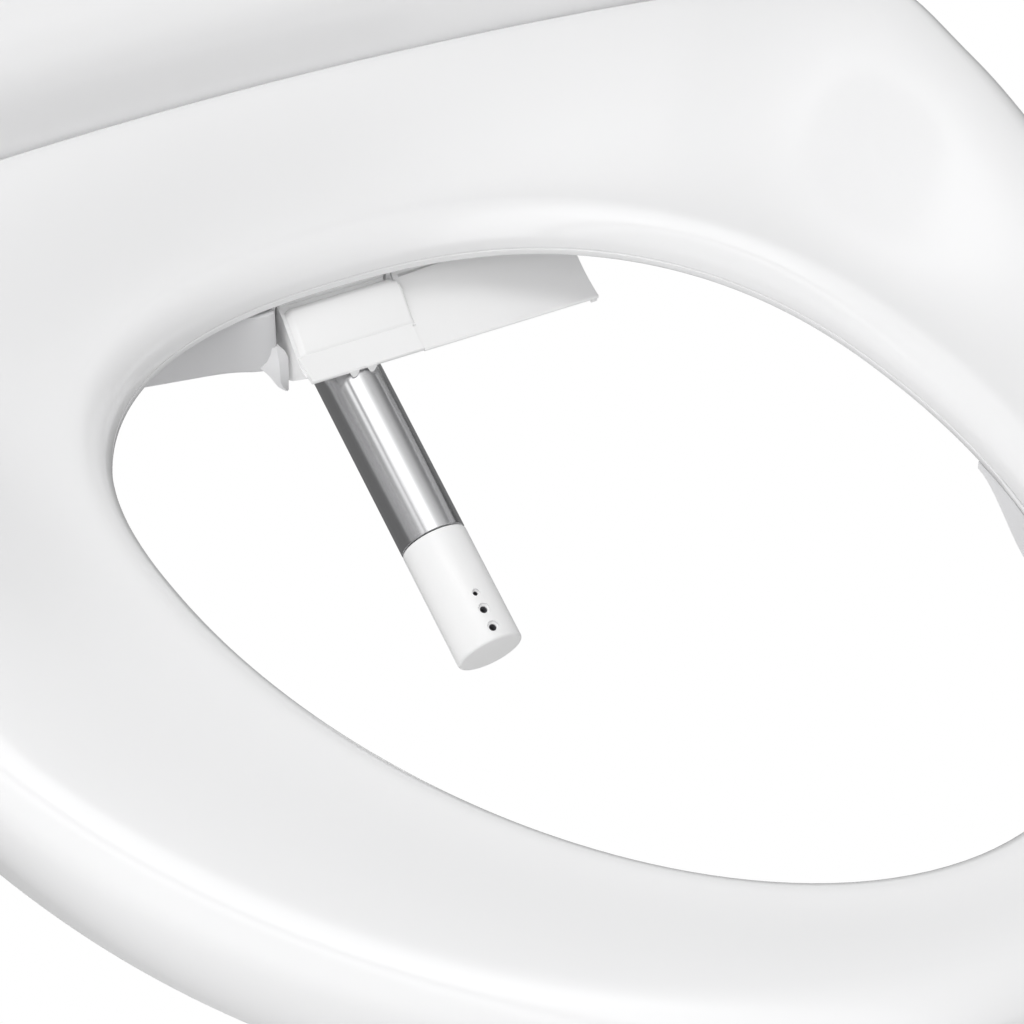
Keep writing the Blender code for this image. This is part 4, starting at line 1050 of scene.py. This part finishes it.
def flap_hood():
    """The hinged hood over the nozzle bay, with its cheeks, hinge eye and two small ribs."""
    # Painted light: the hood wears the lighter copy of the white plastic.
    hood = finished(hood_shell(), "nozzle_hood", LIGHT_PAINTED_WHITE, 28.0)
    y, z = HOOD_AXIS
    cheek = [(-131.8, 21.4), (-137.0, 15.6), (-141.2, 10.9), (-144.9, 9.4), (-144.2, 8.7), (-136.6, 3.9)]
    cheek += [(-133.5, 2.6), (-131.0, 3.4), (-125.2, 12.0), (-124.6, 22.0), (-126.0, 25.6)]
    short = [(-131.6, 21.8), (-137.0, 15.9), (-139.3, 13.1), (-139.0, 12.9), (-136.5, 15.3), (-131.2, 20.2)]
    eye = prism(arc((y, z), 2.6, 0, 350, 35), -16.1, 16.5)
    web = [(y - 2.1, z - 1.2), (y - 0.4, z - 2.5), (-131.6, 16.9), (-133.0, 18.2)]
    joined = [("UNION", prism(cheek, -16.55, -15.5)), ("UNION", prism(short, 18.9, 20.1))]
    joined += [("UNION", prism(web, -16.0, 16.4)), ("UNION", eye)]
    for x in (-2.75, 2.75):
        rib = [(x - 1.6, 8.7), (x - 1.3, 7.9), (x - 0.6, 6.8), (x, 6.55)]
        rib += [(x + 0.6, 6.8), (x + 1.3, 7.9), (x + 1.6, 8.7)]
        joined.append(("UNION", prism(rib, -147.2, -146.3, "Y")))
    joined.append(("DIFFERENCE", rod(1.3, (-30.0, y, z), (1, 0, 0), 60.0, 24)))
    combined(hood, joined)
    rounded(hood, 0.2, 2, 50.0)
    worn_by(hood, "flap", ["nozzle_flap"])


def splash_apron():
    """The concave apron beside the hood, with a rolled lower edge and a nub at its right end."""
    outline = arc(APRON_CENTRE, APRON_RADIUS, -68.0, -32.0, 26)
    outline += [(-120.8, 25.9), (-120.5, 25.6), (-120.5, 6.5), (-122.0, 6.5), (-122.0, 24.6)]
    outline += arc(APRON_CENTRE, APRON_RADIUS + APRON_DEPTH, -32.6, -67.2, 26)
    outline += [(-146.6, 7.7), (-147.1, 7.9), (-147.25, 8.3)]
    low, high = APRON_X
    # Painted light: the apron wears the lighter copy of the white plastic.
    apron = finished(prism(outline, low, high), "bay_apron", LIGHT_PAINTED_WHITE, 30.0)
    nub = [(-146.6, 8.3), (-146.4, 6.6), (-145.6, 6.0), (-144.8, 6.4), (-144.0, 9.0)]
    slit = prism(APRON_SLIT, -131.0, -125.0, "Y")
    joined = [("UNION", prism(nub, high - 1.6, high - 0.05)), ("DIFFERENCE", slit)]
    combined(apron, joined)
    rounded(apron, 0.2, 2, 50.0)
    worn_by(apron, "base", ["splash_apron"])


def shroud_sheet():
    """The curved sheet left of the hood, its foot rising to the left and its top rounded over."""
    bends = [(-78.0, -131.0), (-60.0, -131.2), (-48.0, -131.4), (-38.0, -131.6), (-32.0, -132.3)]
    bends += [(-27.0, -133.8), (-23.8, -134.9), (-21.4, -135.1), (-20.0, -134.3), (-19.5, -132.0)]
    bends += [(-19.4, -128.0), (-19.4, -122.8)]
    front = eased(bends, 6)
    back = inset(front, -SHROUD_DEPTH)
    top = SHROUD_TOP_Z
    sections = []
    for near, far in zip(front, back):
        foot = 8.4 + 0.12 * max(0.0, -near[0] - 27.0)
        profile = [(0.0, foot + 0.5), (0.0, top - 0.9), (0.15, top - 0.3), (0.5, top), (1.0, top)]
        profile += [(1.0, foot + 0.5), (0.75, foot), (0.25, foot)]
        sections.append([(*Vector(near).lerp(Vector(far), share), z) for share, z in profile])
    return loft(sections, ring=False)


def shroud_hook():
    """The pointed hook under the sheet's corner: a folded blade that narrows to its tip."""
    levels = [
        (15.5, (-21.8, -135.2), (-20.6, -135.5), (-19.6, -135.0)),
        (13.5, (-22.3, -135.2), (-20.6, -136.2), (-18.0, -135.6)),
        (11.5, (-23.4, -135.1), (-20.7, -137.0), (-17.4, -136.0)),
        (9.8, (-25.4, -134.9), (-20.8, -137.4), (-17.5, -136.2)),
        (8.4, (-24.2, -135.8), (-20.8, -137.5), (-17.5, -136.2)),
        (7.0, (-23.2, -136.4), (-20.8, -137.6), (-17.6, -136.3)),
        (5.5, (-22.4, -136.8), (-20.8, -137.6), (-17.7, -136.3)),
        (3.8, (-21.4, -137.0), (-20.2, -137.6), (-17.8, -136.4)),
        (2.4, (-19.9, -137.1), (-19.3, -137.5), (-17.9, -136.5)),
        (1.7, (-19.0, -137.0), (-18.6, -137.2), (-18.0, -136.7)),
    ]
    sections = []
    for z, left, ridge, right in levels:
        back = [(right[0], right[1] + 1.2), (ridge[0], ridge[1] + 1.6), (left[0] + 0.3, left[1] + 1.4)]
        sections.append([(x, y, z) for x, y in [left, ridge, right] + back])
    return loft(sections, ring=False)


def nozzle_shroud():
    """The shroud left of the hood, with its roof, floor and hook."""
    # Painted shade: the sheet wears the darker copy of the white plastic, for its place in the shade under
    # the seat.
    shroud = finished(shroud_sheet(), "bay_shroud", SHADE_PAINTED_WHITE, 40.0)
    low, high = SHROUD_TOP_Z - 1.2, SHROUD_TOP_Z - 0.1
    roof = block((-77.6, -130.6, low), (-19.6, -122.9, high))
    plan = [(-40.0, -131.0), (-27.0, -133.0), (-22.0, -134.3), (-20.2, -132.0), (-20.2, -130.0)]
    corner = prism(plan, low, high, "Z")
    floor = block((-77.6, -130.2, 13.9), (-20.6, -122.9, 15.4))
    combined(shroud, [("UNION", roof), ("UNION", corner), ("UNION", floor)])
    rounded(shroud, 0.2, 2, 50.0)
    worn_by(shroud, "base", ["nozzle_shroud"])
    hook = finished(shroud_hook(), "bay_hook", SATIN, 30.0)
    rounded(hook, 0.3, 2, 25.0)
    worn_by(hook, "base")


# ---------------- carried-over parts


def pair(name):
    """The names of a part's left and right copies."""
    return [name + "_" + label for label, side in SIDES]


def carried_over():
    """Give each CAD node that stays on view its material and softened edges."""
    bumpers = pair("seat_bumper_front") + pair("seat_bumper_rear") + pair("lid_bumper")
    dampers = pair("lid_damper") + pair("seat_damper")
    pins = pair("seat_hinge_pin") + pair("lid_hinge_pin")
    keys = ["side_key_1", "side_key_2", "side_key_3", "release_button"]
    finishes = {
        GLOSS: ["indicator_window"],
        SATIN: ["base_chassis", "nozzle_guide", *pair("flap_bearing")],
        GREY: ["nozzle_carriage", *pair("bolt_nut"), *dampers, "water_heater_tank", *keys],
        BLACK: ["blower_casing", "solenoid_valve", "power_gland"],
        POTTED: ["power_supply"],
        STEEL: [*pins, "flap_pin"],
        PLATED: ["mounting_plate", *pair("mounting_bolt"), "nozzle_motor", "water_pump", "water_inlet"],
        LIGHT_RUBBER: [*bumpers, *pair("bolt_bush"), *pair("front_foot")],
        BELT_RUBBER: ["drive_belt"],
        # This white is painted light, lighter than the seat's.
        TIP_WHITE_PAINTED_LIGHT: ["drive_pulley", "idler_pulley", "blower_impeller", "deodorizer_cartridge"],
        BOARD: ["control_board"],
        FOIL: ["seat_heater_foil"],
        CARBON: ["carbon_filter"],
    }
    for finish, names in finishes.items():
        for name in names:
            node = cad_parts[name]
            node.data.materials.clear()
            node.data.materials.append(finish)
            soften(node, NODE_ROUNDING)


def soften(node, width):
    """Weld a CAD node's mesh, merge its flat faces and round its edges, as modifiers."""
    weld = node.modifiers.new("weld", "WELD")
    weld.merge_threshold = WELD_DISTANCE
    merge = node.modifiers.new("merge", "DECIMATE")
    merge.decimate_type = "DISSOLVE"
    merge.angle_limit = math.radians(FLAT_ANGLE)
    rounded(node, width, 2)


# ---------------- stage


def by_ray(tree, kind, usual, special):
    """A shader that rays of one kind see as special and all others as usual."""
    rays = tree.nodes.new("ShaderNodeLightPath")
    mix = tree.nodes.new("ShaderNodeMixShader")
    tree.links.new(rays.outputs[kind], mix.inputs["Fac"])
    tree.links.new(usual, mix.inputs[1])
    tree.links.new(special, mix.inputs[2])
    return mix.outputs["Shader"]


def glowing(tree, kind, colour):
    """The output of a new Emission or Background node of one colour."""
    made = tree.nodes.new(kind)
    made.inputs["Color"].default_value = colour
    return made.outputs[0]


def stage():
    """A plain white floor that throws less light back than it shows."""
    paint, shader, tree = shader_of("floor_paint", FLOOR_BOUNCE, 0.85)
    tone = noise(tree, coordinates(tree), 3.0, 3.0)
    shade = ramp(tree, tone, ((0.3, FLOOR_BOUNCE), (0.7, tinted(FLOOR_BOUNCE, 1.03))))
    tree.links.new(shade, shader.inputs["Base Color"])
    mirrored_floor = glowing(tree, "ShaderNodeEmission", FLOOR_IN_GLOSS)
    unseen = by_ray(tree, "Is Glossy Ray", shader.outputs["BSDF"], mirrored_floor)
    shown = glowing(tree, "ShaderNodeEmission", WHITE)
    surface = by_ray(tree, "Is Camera Ray", unseen, shown)
    tree.links.new(surface, tree.nodes["Material Output"].inputs["Surface"])
    mesh = bmesh.new()
    bmesh.ops.create_grid(mesh, x_segments=2, y_segments=2, size=FLOOR_HALF_SIZE / MM)
    bmesh.ops.translate(mesh, verts=mesh.verts, vec=(0.0, 0.0, FLOOR_Z / MM))
    finished(mesh, "floor", paint)


def area_light(name, place, size, power):
    """A square soft light at place that looks at the seat, in metres and watts."""
    data = bpy.data.lights.new(name, "AREA")
    data.shape = "SQUARE"
    data.size = size
    data.energy = power
    made = bpy.data.objects.new(name, data)
    made.location = place
    made.rotation_euler = (Vector(LIGHT_AIM) - Vector(place)).to_track_quat("-Z", "Y").to_euler()
    made.visible_glossy = False
    placed(made)


def world_light():
    """A bright even room, seen in reflections as soft upright bands that darken to the right."""
    world = bpy.data.worlds.new("studio")
    bpy.context.scene.world = world
    world.use_nodes = True
    tree = world.node_tree
    even = tree.nodes["Background"]
    even.inputs["Color"].default_value = WHITE
    even.inputs["Strength"].default_value = ROOM_LIGHT
    direction = tree.nodes.new("ShaderNodeTexCoord")
    split = tree.nodes.new("ShaderNodeSeparateXYZ")
    tree.links.new(direction.outputs["Generated"], split.inputs["Vector"])
    across = tree.nodes.new("ShaderNodeMapRange")
    across.inputs["From Min"].default_value = -1.0
    tree.links.new(split.outputs["X"], across.inputs["Value"])
    stops = [(place, (level, level, level)) for place, level in ROOM_IN_GLOSS]
    mirrored_room = tree.nodes.new("ShaderNodeBackground")
    tree.links.new(ramp(tree, across.outputs["Result"], stops), mirrored_room.inputs["Color"])
    unseen = by_ray(tree, "Is Glossy Ray", even.outputs["Background"], mirrored_room.outputs["Background"])
    backdrop = glowing(tree, "ShaderNodeBackground", WHITE)
    surface = by_ray(tree, "Is Camera Ray", unseen, backdrop)
    tree.links.new(surface, tree.nodes["World Output"].inputs["Surface"])


def lights():
    """An even bright room with soft boxes ahead on the left, low on the left and overhead."""
    world_light()
    area_light("front_left_box", (-1.4, -1.3, 1.3), 1.2, 7.0)
    area_light("left_low_box", (-1.6, -0.75, 0.1), 1.0, 4.4)
    area_light("top_box", (-0.5, -0.3, 1.8), 0.9, 9.2)


def camera():
    """A long-lens camera, level and without shift."""
    data = bpy.data.cameras.new("camera")
    data.lens = CAMERA_LENS
    data.sensor_width = 36.0
    data.clip_start = 0.01
    made = bpy.data.objects.new("camera", data)
    made.location = CAMERA_PLACE
    aim = Vector(CAMERA_AIM) - Vector(CAMERA_PLACE)
    made.rotation_euler = aim.to_track_quat("-Z", "Y").to_euler()
    bpy.context.scene.camera = placed(made)


seat_upper_shell()
seat_lower_shell()
splash_skirt()
lid()
housing_cover()
nozzle_tip()
nozzle_tube()
flap_hood()
splash_apron()
nozzle_shroud()
carried_over()
stage()
lights()
camera()
bpy.context.scene.view_settings.view_transform = "Standard"
